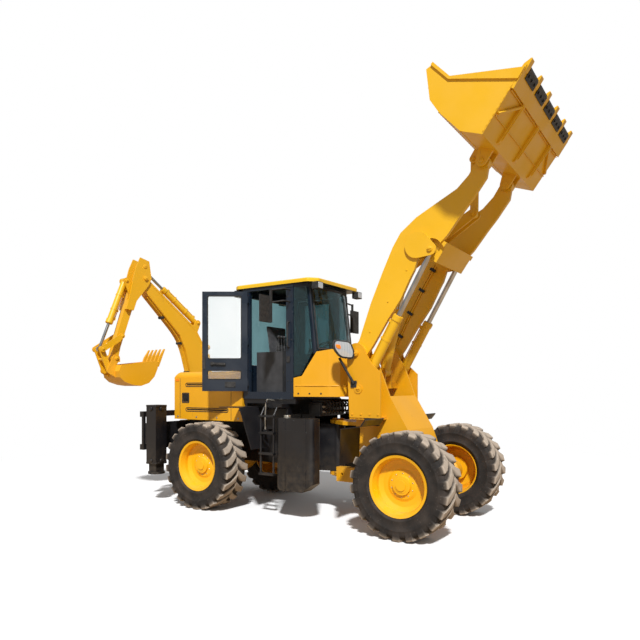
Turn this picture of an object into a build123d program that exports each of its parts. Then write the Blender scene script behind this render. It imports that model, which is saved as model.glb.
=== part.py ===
"""Articulated backhoe loader, arms raised and backhoe swung to its right-hand side.

Millimetres, +X forward, +Y left, +Z up.  The origin is on the ground, on the centreline,
midway between the axles.
"""

import os
from math import atan2, cos, degrees, hypot, pi, radians, sin

from build123d import *

os.makedirs("parts", exist_ok=True)

# ---------------------------------------------------------------- driving dimensions
AXLE_X = 1500  # each axle from the origin
WHEEL_R = 590
WHEEL_Y = 800  # wheel centre plane from the centreline
TYRE_W = 410
RIM_R = 322
PIVOT_X = 150  # articulation pin
RUN = 0.1  # radial clearance of a pin in its bore
GAP = 6  # side clearance between moving plates

ARM_X, ARM_Z = 730, 2065  # arm pivot on the tower
ARM_LEAN = 55  # arm's own u axis above the horizontal, raised
ARM_Y = 440  # arm plate from the centreline
ARM_T = 50
ARM_PIN_R = 40
LIFT_PIN = (1476, -108)  # lift rod's pin in the arm's own (u, v)
BUCKET_PIN = (2520, -103)
BELL_PIN = (1550, 100)
TILT_PIN = (1130, 260)
LINK_PIN = (2040, -130)
LIFT_BASE = (765, 1637)
TILT_BASE = (847, 1844)

BUCKET_LEAN = 52
HINGE = (-155, 91)  # arm pin from the bucket's heel, in the bucket's own (u, v)
BUCKET_HALF = 1000
BUCKET_WALL = 12

CAB_Y = 575
CAB_REAR, DOOR_REAR, DOOR_FRONT = -1020, -900, -290
PILLAR_FRONT = -176
FLOOR_Z, SILL_Z, HEAD_Z, ROOF_Z = 1500, 1593, 2950, 3047
POST_FOOT, POST_HEAD = (105, 455, 2110), (-5, 455, 2950)
GLASS_T = 6

SWING_X, SWING_Y = -2845, 610
SWING_AZIMUTH = 260  # direction in which the backhoe points, from +X about +Z


# ---------------------------------------------------------------- shared shapes
def side(y, origin=(0, 0), lean=0):
    """Upright plane facing right at this y, its x axis forward and lifted by lean degrees."""
    forward = (cos(radians(lean)), 0, sin(radians(lean)))
    return Plane(origin=(origin[0], y, origin[1]), x_dir=forward, z_dir=(0, -1, 0))


def arm_plane(y):
    return side(y, (ARM_X, ARM_Z), ARM_LEAN)


def bucket_plane(y):
    pin = arm_plane(0).from_local_coords((*BUCKET_PIN, 0))
    u, v = HINGE
    lean = radians(BUCKET_LEAN)
    heel = (pin.X - u * cos(lean) + v * sin(lean), pin.Z - u * sin(lean) - v * cos(lean))
    return side(y, heel, BUCKET_LEAN)


def hoe_plane(w):
    """The backhoe's upright plane: x runs out from the swing axis, y is height, w is across."""
    a = radians(SWING_AZIMUTH)
    across = (-sin(a), cos(a), 0)
    origin = (SWING_X - w * across[0], SWING_Y - w * across[1], 0)
    return Plane(origin=origin, x_dir=(cos(a), sin(a), 0), z_dir=tuple(-c for c in across))


def plate(outline, plane, thickness, mode=Mode.ADD):
    """A closed outline made solid, half its thickness to each side of the plane."""
    with BuildSketch(plane) as face:
        with BuildLine():
            Polyline(*outline, close=True)
        make_face()
    extrude(face.sketch, amount=thickness / 2, both=True, mode=mode)


def disc(centre, radius, plane, thickness, mode=Mode.ADD):
    """A round boss, pin or bore centred on the plane."""
    with BuildSketch(plane) as face:
        with Locations(centre):
            Circle(radius)
    extrude(face.sketch, amount=thickness / 2, both=True, mode=mode)


def strap(a, radius_a, b, radius_b, plane, thickness, mode=Mode.ADD):
    """A plate with round ends about two pins."""
    with BuildSketch(plane) as face:
        with Locations(a):
            Circle(radius_a)
        with Locations(b):
            Circle(radius_b)
        make_hull()
    extrude(face.sketch, amount=thickness / 2, both=True, mode=mode)


def block(x, y, z, mode=Mode.ADD):
    """A box given by its three (low, high) spans."""
    size = [span[1] - span[0] for span in (x, y, z)]
    with Locations((x[0], y[0], z[0])):
        Box(*size, align=(Align.MIN, Align.MIN, Align.MIN), mode=mode)


def tube(path, radius):
    """A round bar along straight runs joined by arcs of three radii."""
    with BuildLine() as line:
        if len(path) == 2:
            Line(*path)
        else:
            FilletPolyline(*path, radius=3 * radius)
    start = line.line @ 0
    with BuildSketch(Plane(origin=start, z_dir=line.line % 0)) as face:
        Circle(radius)
    sweep(face.sketch, path=line.line)


def rod_between(plane, a, b, radius, start, end, mode=Mode.ADD):
    """A cylinder along the line from a to b of the plane, from start to end along it."""
    p, q = plane.from_local_coords((*a, 0)), plane.from_local_coords((*b, 0))
    along = (q - p).normalized()
    with BuildSketch(Plane(origin=p + along * start, z_dir=along)) as face:
        Circle(radius)
    extrude(face.sketch, amount=end - start, mode=mode)


def save(builder, name):
    builder.part.label = name
    export_step(builder.part, f"parts/{name}.step")


def barrel(plane, base, pin, length, radius, bore, eye_r, eye_w, eye_bore):
    """A cylinder's barrel: an eye at its base, a hollow tube and a gland at its mouth."""
    rod_between(plane, base, pin, radius, eye_r * 0.6, length)
    rod_between(plane, base, pin, radius + 8, length - 60, length)
    rod_between(plane, base, pin, bore, eye_r + 30, length, Mode.SUBTRACT)
    disc(base, eye_r, plane, eye_w)
    disc(base, eye_bore, plane, 4 * eye_w, Mode.SUBTRACT)


def rod(plane, base, pin, start, radius, eye_r, eye_w, eye_bore):
    """A cylinder's rod with its eye about the pin."""
    reach = hypot(pin[0] - base[0], pin[1] - base[1])
    rod_between(plane, base, pin, radius, start, reach - eye_r * 0.6)
    disc(pin, eye_r, plane, eye_w)
    disc(pin, eye_bore, plane, 4 * eye_w, Mode.SUBTRACT)


# ---------------------------------------------------------------- wheels
LUGS, LUG_ROOT = 22, 505
TREAD_R, SHOULDER = 556, 38
half = TYRE_W / 2
# one lug's corners: along the tread, then across it from the middle to the shoulder
LUG = ((38, 6), (74, 6), (-6, 120), (-34, half - 2), (-78, half - 2), (-48, 110))
LUG_TOP = (WHEEL_R**2 - max(abs(t) for t, w in LUG) ** 2) ** 0.5
RIM_W, HUB_R, SPINDLE_R = 165, 150, 60
DISH = 28  # the rim's disc stands this far outboard of the wheel's middle

for end, x in (("front", AXLE_X), ("rear", -AXLE_X)):
    for hand, outward in (("left", 1), ("right", -1)):
        hub = Axis((x, 0, WHEEL_R), (0, 1, 0))
        middle = outward * WHEEL_Y
        with BuildPart() as tyre:
            with BuildSketch(Plane(origin=(x, middle, WHEEL_R), x_dir=(1, 0, 0), z_dir=(0, 0, 1))):
                with BuildLine():
                    Polyline((RIM_R, -RIM_W), (380, -half + 8), (470, -half), (TREAD_R - SHOULDER, -half + 4))
                    RadiusArc((TREAD_R - SHOULDER, -half + 4), (TREAD_R, -half + SHOULDER), SHOULDER)
                    Line((TREAD_R, -half + SHOULDER), (TREAD_R, half - SHOULDER))
                    RadiusArc((TREAD_R, half - SHOULDER), (TREAD_R - SHOULDER, half - 4), SHOULDER)
                    Polyline((TREAD_R - SHOULDER, half - 4), (470, half), (380, half - 8), (RIM_R, RIM_W))
                    Line((RIM_R, RIM_W), (RIM_R, -RIM_W))
                make_face()
            revolve(axis=hub)
            for number in range(LUGS):
                for flank in (1, -1):
                    a = radians(360 / LUGS * (number + 0.25 * flank))
                    out = (cos(a), 0, sin(a))
                    foot = (x + LUG_ROOT * out[0], middle, WHEEL_R + LUG_ROOT * out[2])
                    with BuildSketch(Plane(origin=foot, x_dir=(-sin(a), 0, cos(a)), z_dir=out)):
                        with BuildLine():
                            Polyline(*[(t, flank * w) for t, w in LUG], close=True)
                        make_face()
                    extrude(amount=LUG_TOP - LUG_ROOT)
        save(tyre, f"tyre_{end}_{hand}")

        with BuildPart() as rim:
            with BuildSketch(Plane(origin=(x, middle, WHEEL_R), x_dir=(1, 0, 0), z_dir=(0, 0, 1))):
                with BuildLine():
                    o = outward
                    Polyline(
                        (RIM_R, -o * RIM_W), (RIM_R, o * RIM_W), (RIM_R + 16, o * (RIM_W + 10)),
                        (RIM_R + 16, o * (RIM_W + 20)), (RIM_R - 12, o * (RIM_W + 12)),
                        (RIM_R - 34, o * 110), (RIM_R - 34, o * 64), (236, o * (DISH + 14)),
                        (HUB_R + 30, o * (DISH + 14)), (HUB_R, o * (DISH + 30)), (112, o * (DISH + 34)),
                        (104, o * (DISH + 62)), (SPINDLE_R + RUN, o * (DISH + 66)), (SPINDLE_R + RUN, -o * 40),
                        (HUB_R, -o * 40), (HUB_R, o * DISH), (230, o * DISH), (RIM_R - 46, o * 50),
                        (RIM_R - 34, -o * 100), (RIM_R - 12, -o * RIM_W), close=True,
                    )
                make_face()
            revolve(axis=hub)
            disc((x, WHEEL_R), 58, side(outward * (WHEEL_Y + DISH + 72)), 16)
            disc((x, WHEEL_R), SPINDLE_R + 20, side(outward * (WHEEL_Y + DISH + 63)), 10)
        save(rim, f"rim_{end}_{hand}")


# ---------------------------------------------------------------- axles
# radius and half-width pairs of an axle's housing, from the middle out to the spindle
AXLE = ((145, 0), (145, 70), (112, 150), (78, 210), (78, 470), (135, 500), (135, 640), (SPINDLE_R, 640))
SPINDLE_END = WHEEL_Y + DISH + 50

for end, x, pads in (("front", AXLE_X, 250), ("rear", -AXLE_X, 250)):
    with BuildPart() as axle:
        with BuildSketch(Plane(origin=(x, 0, WHEEL_R), x_dir=(1, 0, 0), z_dir=(0, 0, 1))):
            with BuildLine():
                Polyline(
                    (0, -SPINDLE_END), *[(r, -y) for r, y in ((SPINDLE_R, SPINDLE_END), *AXLE[::-1])],
                    *AXLE[1:], (SPINDLE_R, SPINDLE_END), (0, SPINDLE_END), close=True,
                )
            make_face()
        revolve(axis=Axis((x, 0, WHEEL_R), (0, 1, 0)))
        for y in (-pads - 60, pads + 60):
            block((x - 90, x + 90), (y - 50, y + 50), (WHEEL_R, WHEEL_R + 95))
    save(axle, f"{end}_axle")

# ---------------------------------------------------------------- front frame and tower
EAR_R = 125
OUTER_Y, INNER_Y, FRAME_T = 522, 357, 25
BOSS_W = 120
SADDLE_Z = WHEEL_R + 95
KNUCKLE_T, KNUCKLE_LOW, KNUCKLE_HIGH, KNUCKLE_R = 45, 520, 1200, 110
PIN_R = 45
SHELF_Z = 1290
LOCK_BORE, LOCK_R = (450, 570), 16  # takes the articulation lock bar's pin
TIE_BORE, TIE_R = (-2205, 900), 30  # tie-down eyes in the chassis tail

# the frame's nose falls away in front, clear of the lowered arm's cross beam
NOSE = ((1340, 1150), (1425, 920), (1480, 790), (1600, 700))

with BuildPart() as front_frame:
    for hand in (1, -1):
        # inner plates run from the axle up to the arm's pivot
        plate(
            [(640, 470), (640, 1500), (612, 1830), (605, ARM_Z), (ARM_X, ARM_Z), (860, ARM_Z),
             (953, 1925), (1100, 1550), *NOSE, (1600, SADDLE_Z), (1380, SADDLE_Z), (1300, 560), (1180, 470)],
            side(hand * INNER_Y), FRAME_T,
        )
        # outer plates stand beside them above the shelf
        plate(
            [(640, SHELF_Z), (612, 1830), (605, ARM_Z), (ARM_X, ARM_Z), (860, ARM_Z), (953, 1925),
             (1060, 1830), (1060, SHELF_Z)],
            side(hand * OUTER_Y), FRAME_T,
        )
        for y in (INNER_Y, OUTER_Y):
            disc((ARM_X, ARM_Z), EAR_R, side(hand * y), FRAME_T)
            disc(LIFT_BASE, 55, side(hand * y), FRAME_T + 20)
        disc((ARM_X, ARM_Z), ARM_PIN_R, side(hand * ARM_Y), 2 * (OUTER_Y - ARM_Y) + 70)
        disc(LIFT_BASE, 28, side(hand * ARM_Y), 2 * (OUTER_Y - ARM_Y))
        low, high = sorted((hand * INNER_Y, hand * OUTER_Y))
        block((640, 1060), (low, high), (SHELF_Z - 20, SHELF_Z))
        block((650, 670), (low, high), (SHELF_Z, 1500))
    # cross plates close the box between the inner plates
    block((640, 660), (-INNER_Y, INNER_Y), (470, 1500))
    block((640, 1180), (-INNER_Y, INNER_Y), (470, 490))
    plate([(1100, 1550), *NOSE[:3], (1465, 784), (1410, 914), (1326, 1142), (1085, 1544)], side(0), 2 * INNER_Y)
    # the tilt cylinder's lugs stand on a cross beam
    block((760, 850), (-INNER_Y, INNER_Y), (1640, 1720))
    for y in (-82, 82):
        plate([(760, 1680), (790, 1850), (900, 1850), (890, 1640), (760, 1640)], side(y), 24)
        disc(TILT_BASE, 60, side(y), 24)
    disc(TILT_BASE, 30, side(0), 188)
    # knuckle plates reach back to the articulation pin
    for z in (KNUCKLE_LOW, KNUCKLE_HIGH):
        with BuildSketch(Plane.XY.offset(z - KNUCKLE_T / 2)):
            with BuildLine():
                Polyline((650, -330), (420, -330), (PIVOT_X, -KNUCKLE_R), (PIVOT_X, KNUCKLE_R),
                         (420, 330), (650, 330), close=True)
            make_face()
            with Locations((PIVOT_X, 0)):
                Circle(KNUCKLE_R)
        extrude(amount=KNUCKLE_T)
    for z, up in ((KNUCKLE_LOW, 1), (KNUCKLE_HIGH, -1)):
        with BuildSketch(Plane.XY.offset(z)):
            with Locations((PIVOT_X, 0)):
                Circle(PIN_R)
        extrude(amount=up * 150)
    for hand in (1, -1):
        low, high = sorted((hand * 300, hand * 400))
        block((370, 645), (low, high), (475, 655))
        disc(LOCK_BORE, LOCK_R, side(hand * 350), 120, Mode.SUBTRACT)
save(front_frame, "front_frame")

with BuildPart() as guards:
    for hand in (1, -1):
        plate([(800, 1176), (1060, 1215), (1120, 1290), (1112, 1298), (1052, 1224), (794, 1186),
               (772, 770), (782, 770)], side(hand * 775), 450)
        block((860, 1050), (min(hand * 530, hand * 560), max(hand * 530, hand * 560)), (1200, 1290))
save(guards, "front_mudguards")

with BuildPart() as headlights:
    for hand in (1, -1):
        y = hand * 635
        block((410, 560), (y - 75, y + 75), (1970, 2240))
        plate([(560, 1975), (560, 2235), (640, 2220), (640, 1990)], side(y), 140)
        tube([(575, hand * 565, 1990), (575, hand * 565, 1960), (700, hand * 552, 1700)], 16)
save(headlights, "headlights")


# ---------------------------------------------------------------- loader arm and its linkage
LUG_T, LUG_GAP = 18, 37  # lift rod's lug plates, and half the gap between them
EYE_W = 54
BELL_Y, BELL_T = 55, 20
BEAM = ((1380, -220), (1625, -220), (1625, -110), (1530, 0), (1420, 5), (1380, -40))

with BuildPart() as loader_arm:
    for hand in (1, -1):
        y = hand * ARM_Y
        plate(
            [(0, 100), (131, 85), (593, 208), (981, 284), (1274, 332), (1455, 338), (1690, 262), (1873, 162),
             (2165, 1), (2339, -36), (2520, -30), (2520, -176), (2403, -231), (2146, -223), (1995, -207),
             (1690, -188), (1526, -153), (1359, -45), (1090, -68), (822, -105), (537, -98), (172, -109),
             (0, -100)],
            arm_plane(y), ARM_T,
        )
        strap((1440, 60), 150, LIFT_PIN, 70, arm_plane(y), 2 * (LUG_GAP + LUG_T))
        disc(LIFT_PIN, 34, arm_plane(y), 2 * (LUG_GAP + LUG_T + 10))
        disc((0, 0), 112, arm_plane(y), BOSS_W)
        disc((0, 0), ARM_PIN_R + RUN, arm_plane(y), 2 * BOSS_W, Mode.SUBTRACT)
        disc(BUCKET_PIN, 76, arm_plane(y), 90)
        disc(BUCKET_PIN, 30 + RUN, arm_plane(y), 200, Mode.SUBTRACT)
    plate(BEAM, arm_plane(0), 2 * ARM_Y)
    for y in (-ARM_Y, ARM_Y):
        strap(LIFT_PIN, 125, (1150, -200), 125, arm_plane(y), 2 * LUG_GAP, Mode.SUBTRACT)
        strap(LIFT_PIN, 125, (1490, -260), 60, arm_plane(y), 2 * LUG_GAP, Mode.SUBTRACT)
    for w in (-1, 1):
        y = w * (BELL_Y + BELL_T + 12)
        strap((1500, -40), 60, BELL_PIN, 48, arm_plane(y), 22)
    disc(BELL_PIN, 30, arm_plane(0), 2 * (BELL_Y + BELL_T + 30))
save(loader_arm, "loader_arm")

with BuildPart() as bellcrank:
    for w in (-1, 1):
        strap(TILT_PIN, 55, BELL_PIN, 72, arm_plane(w * BELL_Y), BELL_T)
        strap(BELL_PIN, 72, LINK_PIN, 55, arm_plane(w * BELL_Y), BELL_T)
        for pin in (TILT_PIN, LINK_PIN):
            disc(pin, 34, arm_plane(w * (BELL_Y + BELL_T / 2 + 5)), 10)
    disc(BELL_PIN, 66, arm_plane(0), 2 * BELL_Y)
    disc(BELL_PIN, 30 + RUN, arm_plane(0), 4 * BELL_Y, Mode.SUBTRACT)
save(bellcrank, "bellcrank")

# ---------------------------------------------------------------- loader bucket
# side outline in the bucket's own (u along the bottom, v up the back)
BUCKET = ((0, 0), (649, 20), (288, 663), (332, 934), (276, 963), (136, 823), (43, 731), (-16, 563), (-72, 232))
TILT_EAR = (-130, 420)
TEETH, TOOTH_TIP = 6, 770

with BuildPart() as loader_bucket:
    plate(BUCKET, bucket_plane(0), 2 * BUCKET_HALF)
    # hollowed from the mouth, leaving bottom, back and sides
    plate(
        [(14, BUCKET_WALL), (700, BUCKET_WALL + 22), (700, 1100), (345, 925), (278, 946), (148, 815), (55, 725),
         (-4, 561), (-59, 234)],
        bucket_plane(0), 2 * (BUCKET_HALF - 16), Mode.SUBTRACT,
    )
    plate([(470, -14), (700, 6), (700, 24), (470, 16)], bucket_plane(0), 2 * BUCKET_HALF)
    for w in (-1, 1):
        plate([(560, 0), (672, 6), (318, 664), (362, 930), (332, 934), (288, 663)],
              bucket_plane(w * (BUCKET_HALF + 8)), 20)
        for y in (ARM_Y - 75, ARM_Y + 75):
            strap(HINGE, 62, (10, 130), 90, bucket_plane(w * y), 24)
        disc(HINGE, 30, bucket_plane(w * ARM_Y), 190)
        strap(TILT_EAR, 48, (20, 420), 60, bucket_plane(w * 45), 20)
    disc(TILT_EAR, 25, bucket_plane(0), 130)
    for y in (-600, 0, 600):
        block_plane = bucket_plane(y)
        plate([(40, 2), (470, 16), (470, -22), (60, -22)], block_plane, 60)
    plate(
        [(14, BUCKET_WALL), (600, BUCKET_WALL + 19), (345, 925), (278, 946), (148, 815), (55, 725), (-4, 561),
         (-59, 234)], bucket_plane(0), 2 * (BUCKET_HALF - 16), Mode.SUBTRACT)
save(loader_bucket, "loader_bucket")

with BuildPart() as teeth:
    pitch = 2 * (BUCKET_HALF - 60) / (TEETH - 1)
    for number in range(TEETH):
        y = -BUCKET_HALF + 60 + number * pitch
        plate([(560, 30), (560, 46), (670, 52), (TOOTH_TIP, 14), (TOOTH_TIP, 4), (702, 6), (702, 35)],
              bucket_plane(y), 62)
        if number:
            plate([(610, -2), (716, 7), (720, 2), (700, -8), (610, -12)], bucket_plane(y - pitch / 2), pitch - 90)
save(teeth, "bucket_teeth")

with BuildPart() as tilt_link:
    heel_to_arm = bucket_plane(0)
    knee = arm_plane(0).from_local_coords((*LINK_PIN, 0))
    ear = heel_to_arm.from_local_coords((*TILT_EAR, 0))
    strap((knee.X, knee.Z), 42, (ear.X, ear.Z), 42, side(0), 50)
    disc((ear.X, ear.Z), 25 + RUN, side(0), 120, Mode.SUBTRACT)
save(tilt_link, "tilt_link")

# ---------------------------------------------------------------- loader cylinders
lift_eye = arm_plane(0).from_local_coords((*LIFT_PIN, 0))
lift_pin = (lift_eye.X, lift_eye.Z)
tilt_eye = arm_plane(0).from_local_coords((*TILT_PIN, 0))
tilt_pin = (tilt_eye.X, tilt_eye.Z)

with BuildPart() as lift_barrels:
    for y in (-ARM_Y, ARM_Y):
        barrel(side(y), LIFT_BASE, lift_pin, 980, 55, 40, 56, 90, 28 + RUN)
save(lift_barrels, "lift_barrels")
with BuildPart() as lift_rods:
    for y in (-ARM_Y, ARM_Y):
        rod(side(y), LIFT_BASE, lift_pin, 860, 30, 46, EYE_W, 20)
        rod_between(side(y), LIFT_BASE, lift_pin, 40 - RUN, 860, 930)
save(lift_rods, "lift_rods")
with BuildPart() as tilt_barrel:
    barrel(side(0), TILT_BASE, tilt_pin, 800, 60, 44, 58, 126, 30 + RUN)
save(tilt_barrel, "tilt_barrel")
with BuildPart() as tilt_rod:
    rod(side(0), TILT_BASE, tilt_pin, 700, 32, 48, 56, 22)
    rod_between(side(0), TILT_BASE, tilt_pin, 44 - RUN, 700, 760)
save(tilt_rod, "tilt_rod")

# ---------------------------------------------------------------- rear chassis
RAIL_Y, RAIL_T = 280, 40
NOSE_LOW, NOSE_HIGH = KNUCKLE_LOW + KNUCKLE_T / 2 + GAP, KNUCKLE_HIGH - KNUCKLE_T / 2 - GAP

with BuildPart() as rear_chassis:
    for y in (-RAIL_Y, RAIL_Y):
        plate(
            [(-250, 620), (-1380, 620), (-1380, SADDLE_Z), (-1620, SADDLE_Z), (-1620, 620), (-2420, 620),
             (-2420, 1100), (-2280, 1160), (-1000, 1160), (-980, 1360), (-250, 1360)],
            side(y), RAIL_T,
        )
        disc(TIE_BORE, TIE_R, side(y), 2 * RAIL_T, Mode.SUBTRACT)
    for x in (-270, -800, -2280, -2400):
        block((x - 10, x + 10), (-RAIL_Y, RAIL_Y), (700, 1100))
    # the nose carries the articulation bearing
    with BuildSketch(Plane.XY.offset(NOSE_LOW)):
        with Locations((PIVOT_X, 0)):
            Circle(95)
        with BuildLine():
            Polyline((PIVOT_X, -95), (-120, -170), (-280, -RAIL_Y - 15), (-280, RAIL_Y + 15), (-120, 170),
                     (PIVOT_X, 95), close=True)
        make_face()
    extrude(amount=NOSE_HIGH - NOSE_LOW)
    with Locations((PIVOT_X, 0, (NOSE_LOW + NOSE_HIGH) / 2)):
        Cylinder(PIN_R + RUN, 2000, mode=Mode.SUBTRACT)
    # belly floor under the cab and brackets for the tank and the ladder
    block((-1020, -150), (-560, 560), (1440, 1500))
    block((-300, -270), (-560, 560), (1300, 1500))
    block((-1000, -970), (-560, 560), (1300, 1500))
    for hand in (1, -1):
        low, high = sorted((hand * (RAIL_Y - 5), hand * 650))
        for x in (-200, -60):
            block((x - 15, x + 15), (low, high), (800, 860))
        block((-300, -40), sorted((hand * (RAIL_Y - 10), hand * (RAIL_Y + 10))), (700, 1300))
save(rear_chassis, "rear_chassis")

with BuildPart() as engine:
    block((-2200, -1250), (-230, 230), (780, 1430))
    chamfer(engine.edges().filter_by(Axis.X), 40)
    for y in (-245, 245):
        block((-1350, -1290), sorted((0, y)), (900, 960))
save(engine, "engine_block")

# ---------------------------------------------------------------- cab
LEAF = 40  # posts, sills and walls of the cab
PLAN = ((CAB_REAR, CAB_Y), (PILLAR_FRONT, CAB_Y), (POST_FOOT[0], POST_FOOT[1]))

with BuildPart() as cab_frame:
    block((CAB_REAR, PILLAR_FRONT), (-CAB_Y, CAB_Y), (FLOOR_Z, SILL_Z))
    block((CAB_REAR, CAB_REAR + LEAF), (-CAB_Y, CAB_Y), (SILL_Z, HEAD_Z + 45))
    block((CAB_REAR - 1, CAB_REAR + LEAF + 1), (-CAB_Y + 90, CAB_Y - 90), (1960, HEAD_Z - 70), Mode.SUBTRACT)
    for hand in (1, -1):
        y = sorted((hand * (CAB_Y - LEAF), hand * CAB_Y))
        block((CAB_REAR, DOOR_REAR), y, (SILL_Z, HEAD_Z))
        block((DOOR_FRONT, PILLAR_FRONT), y, (SILL_Z, HEAD_Z))
        block((CAB_REAR, PILLAR_FRONT), y, (HEAD_Z, HEAD_Z + 45))
        # windscreen posts lean back and carry the front corners of the roof
        foot = Vector(POST_FOOT[0] - 25, hand * (POST_FOOT[1] - 10), POST_FOOT[2] - 20)
        head = Vector(POST_HEAD[0] - 25, hand * (POST_HEAD[1] - 10), HEAD_Z + 40)
        with BuildSketch(Plane(origin=foot, x_dir=(1, 0, 0), z_dir=head - foot)):
            RectangleRounded(54, 44, 10)
        extrude(amount=(head - foot).length)
        with BuildSketch(Plane.XY.offset(HEAD_Z)):
            with BuildLine():
                Polyline((PILLAR_FRONT - 20, hand * CAB_Y), (0, hand * 465), (0, hand * 425),
                         (PILLAR_FRONT - 20, hand * (CAB_Y - 45)), close=True)
            make_face()
        extrude(amount=45)
    block((-45, 0), (-460, 460), (HEAD_Z, HEAD_Z + 45))
save(cab_frame, "cab_frame")

with BuildPart() as roof:
    with BuildSketch(Plane.XY.offset(HEAD_Z + 45)):
        with BuildLine():
            Polyline((-1167, 560), (-1167, -560), (-1100, -598), (60, -598), (161, -480), (161, 480), (60, 598),
                     (-1100, 598), close=True)
        make_face()
    extrude(amount=ROOF_Z - HEAD_Z - 45)
    fillet(roof.edges().filter_by(Axis.Z), 40)
    fillet(roof.faces().sort_by(Axis.Z)[-1].edges(), 18)
save(roof, "cab_roof")

with BuildPart() as glass:
    # the windscreen bows forward between its posts
    with BuildSketch(Plane.XY.offset(POST_FOOT[2] + 22)):
        with BuildLine():
            ThreePointArc((100, 425), (232, 0), (100, -425))
            Line((100, -425), (94, -422))
            ThreePointArc((94, -422), (226, 0), (94, 422))
            Line((94, 422), (100, 425))
        make_face()
    with BuildSketch(Plane.XY.offset(HEAD_Z - 2)):
        with BuildLine():
            ThreePointArc((0, 425), (120, 0), (0, -425))
            Line((0, -425), (-6, -422))
            ThreePointArc((-6, -422), (114, 0), (-6, 422))
            Line((-6, 422), (0, 425))
        make_face()
    loft()
    block((CAB_REAR + 17, CAB_REAR + 23), (-CAB_Y + 92, CAB_Y - 92), (1962, HEAD_Z - 72))
    for hand in (1, -1):
        # quarter lights from the pillar to the windscreen post
        corner = Vector(PILLAR_FRONT, hand * (CAB_Y - 12), 0)
        post = Vector(70, hand * 468, 0)
        flat = Plane(origin=corner, x_dir=post - corner, z_dir=(post - corner).cross(Vector(0, 0, 1)))
        width = (post - corner).length
        with BuildSketch(flat):
            with BuildLine():
                up = flat.y_dir.Z
                Polyline((3, up * 1790), (95, up * 1810), (width - 12, up * 2112), (width - 90, up * (HEAD_Z - 2)),
                         (3, up * (HEAD_Z - 2)), close=True)
            make_face()
        extrude(amount=GLASS_T)
save(glass, "cab_glass")

with BuildPart() as cowl:
    with BuildSketch(Plane.XY.offset(1535)):
        with BuildLine():
            Polyline((-170, 575), (-60, 562), (300, 468), (430, 405), (500, 320))
            ThreePointArc((500, 320), (545, 0), (500, -320))
            Polyline((500, -320), (430, -405), (300, -468), (-60, -562), (-170, -575))
            Line((-170, -575), (-170, 575))
        make_face()
    extrude(amount=640)
    with BuildSketch(Plane.XZ) as profile:
        with BuildLine():
            Polyline((-170, 1535), (-170, 1775), (-50, 1802), (140, 2108), (370, 2140), (500, 1990), (545, 1680),
                     (530, 1535), close=True)
        make_face()
    extrude(profile.sketch, amount=700, both=True, mode=Mode.INTERSECT)
    offset(amount=-8, openings=cowl.faces().sort_by(Axis.X)[0])
save(cowl, "cowl")

DOOR_T, DOOR_SWING = 30, 146
DOOR_LIGHTS = ((1764, 1880), (2042, 2889))  # heights of the slot and of the upper window
for name, hand, swing in (("left", 1, 0), ("right", -1, DOOR_SWING)):
    y = hand * 600
    hinge = (DOOR_REAR - 14, y)
    turn = -radians(swing) * 1.0
    lie = Plane(origin=(*hinge, 0), x_dir=(cos(turn), sin(turn), 0), z_dir=(sin(turn), -cos(turn), 0))
    flip = lie.y_dir.Z
    with BuildPart() as door:
        with BuildSketch(lie):
            with BuildLine():
                Polyline((6, flip * 1603), (616, flip * 1603), (616, flip * 2947), (6, flip * 2947), close=True)
            make_face()
            for low, high in DOOR_LIGHTS:
                with BuildLine():
                    Polyline((90, flip * low), (545, flip * low), (545, flip * high), (90, flip * high), close=True)
                make_face(mode=Mode.SUBTRACT)
        extrude(amount=DOOR_T / 2, both=True)
        for z in (1720, 2280, 2840):
            with Locations((*hinge, z)):
                Cylinder(11, 90)
    save(door, f"door_{name}")
    with BuildPart() as pane:
        for low, high in DOOR_LIGHTS:
            plate([(92, flip * (low + 2)), (543, flip * (low + 2)), (543, flip * (high - 2)), (92, flip * (high - 2))],
                  lie, GLASS_T)
    save(pane, f"door_glass_{name}")


# ---------------------------------------------------------------- rear body
HOOD_Z, HOOD_Y = 1186, 589
with BuildPart() as hood:
    with BuildSketch(Plane.XZ):
        with BuildLine():
            Polyline((-2353, HOOD_Z), (-2353, 1800), (-2290, 1880), (-1024, 1880), (-1024, HOOD_Z), close=True)
        make_face()
    extrude(amount=HOOD_Y, both=True)
    fillet(hood.faces().sort_by(Axis.Z)[-1].edges().filter_by(Axis.X), 85)
    offset(amount=-8, openings=hood.faces().sort_by(Axis.Z)[0])
    for hand in (1, -1):
        y = sorted((hand * (HOOD_Y - 20), hand * (HOOD_Y + 10)))
        for z in (1320, 1680):
            block((-2100, -1300), y, (z, z + 22), Mode.SUBTRACT)
        block((-2180, -2060), y, (1440, 1560), Mode.SUBTRACT)
save(hood, "rear_hood")

with BuildPart() as fenders:
    for hand in (1, -1):
        plate([(-1070, 1390), (-720, 1390), (-522, 870), (-513, 873), (-712, 1400), (-1070, 1400)],
              side(hand * 815), 370)
        block((-1040, -760), sorted((hand * 601, hand * 640)), (1330, 1390))
save(fenders, "rear_fenders")

TANK = ((-250, 1270), (310, 1270), (310, 480), (150, 370), (-180, 370), (-250, 420))
for name, hand in (("fuel_tank", -1), ("hydraulic_tank", 1)):
    with BuildPart() as tank:
        plate(TANK, side(hand * 750), 200)
        fillet(tank.edges().filter_by(Axis.Z), 60)
    save(tank, name)

with BuildPart() as ladder:
    for x in (-485, -280):
        tube([(x, -640, 1400), (x, -780, 1400), (x, -850, 1290), (x, -850, 540)], 14)
    for z in (1290, 1075, 813, 555):
        block((-500, -265), (-880, -820), (z - 12, z + 12))
    block((-500, -265), (-700, -560), (1388, 1440))
    tube([(-470, -600, 1480), (-470, -700, 1493), (-466, -760, 1493), (-483, -760, 1110)], 12)
    block((-500, -440), (-790, -640), (1090, 1115))
save(ladder, "boarding_ladder")

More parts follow.
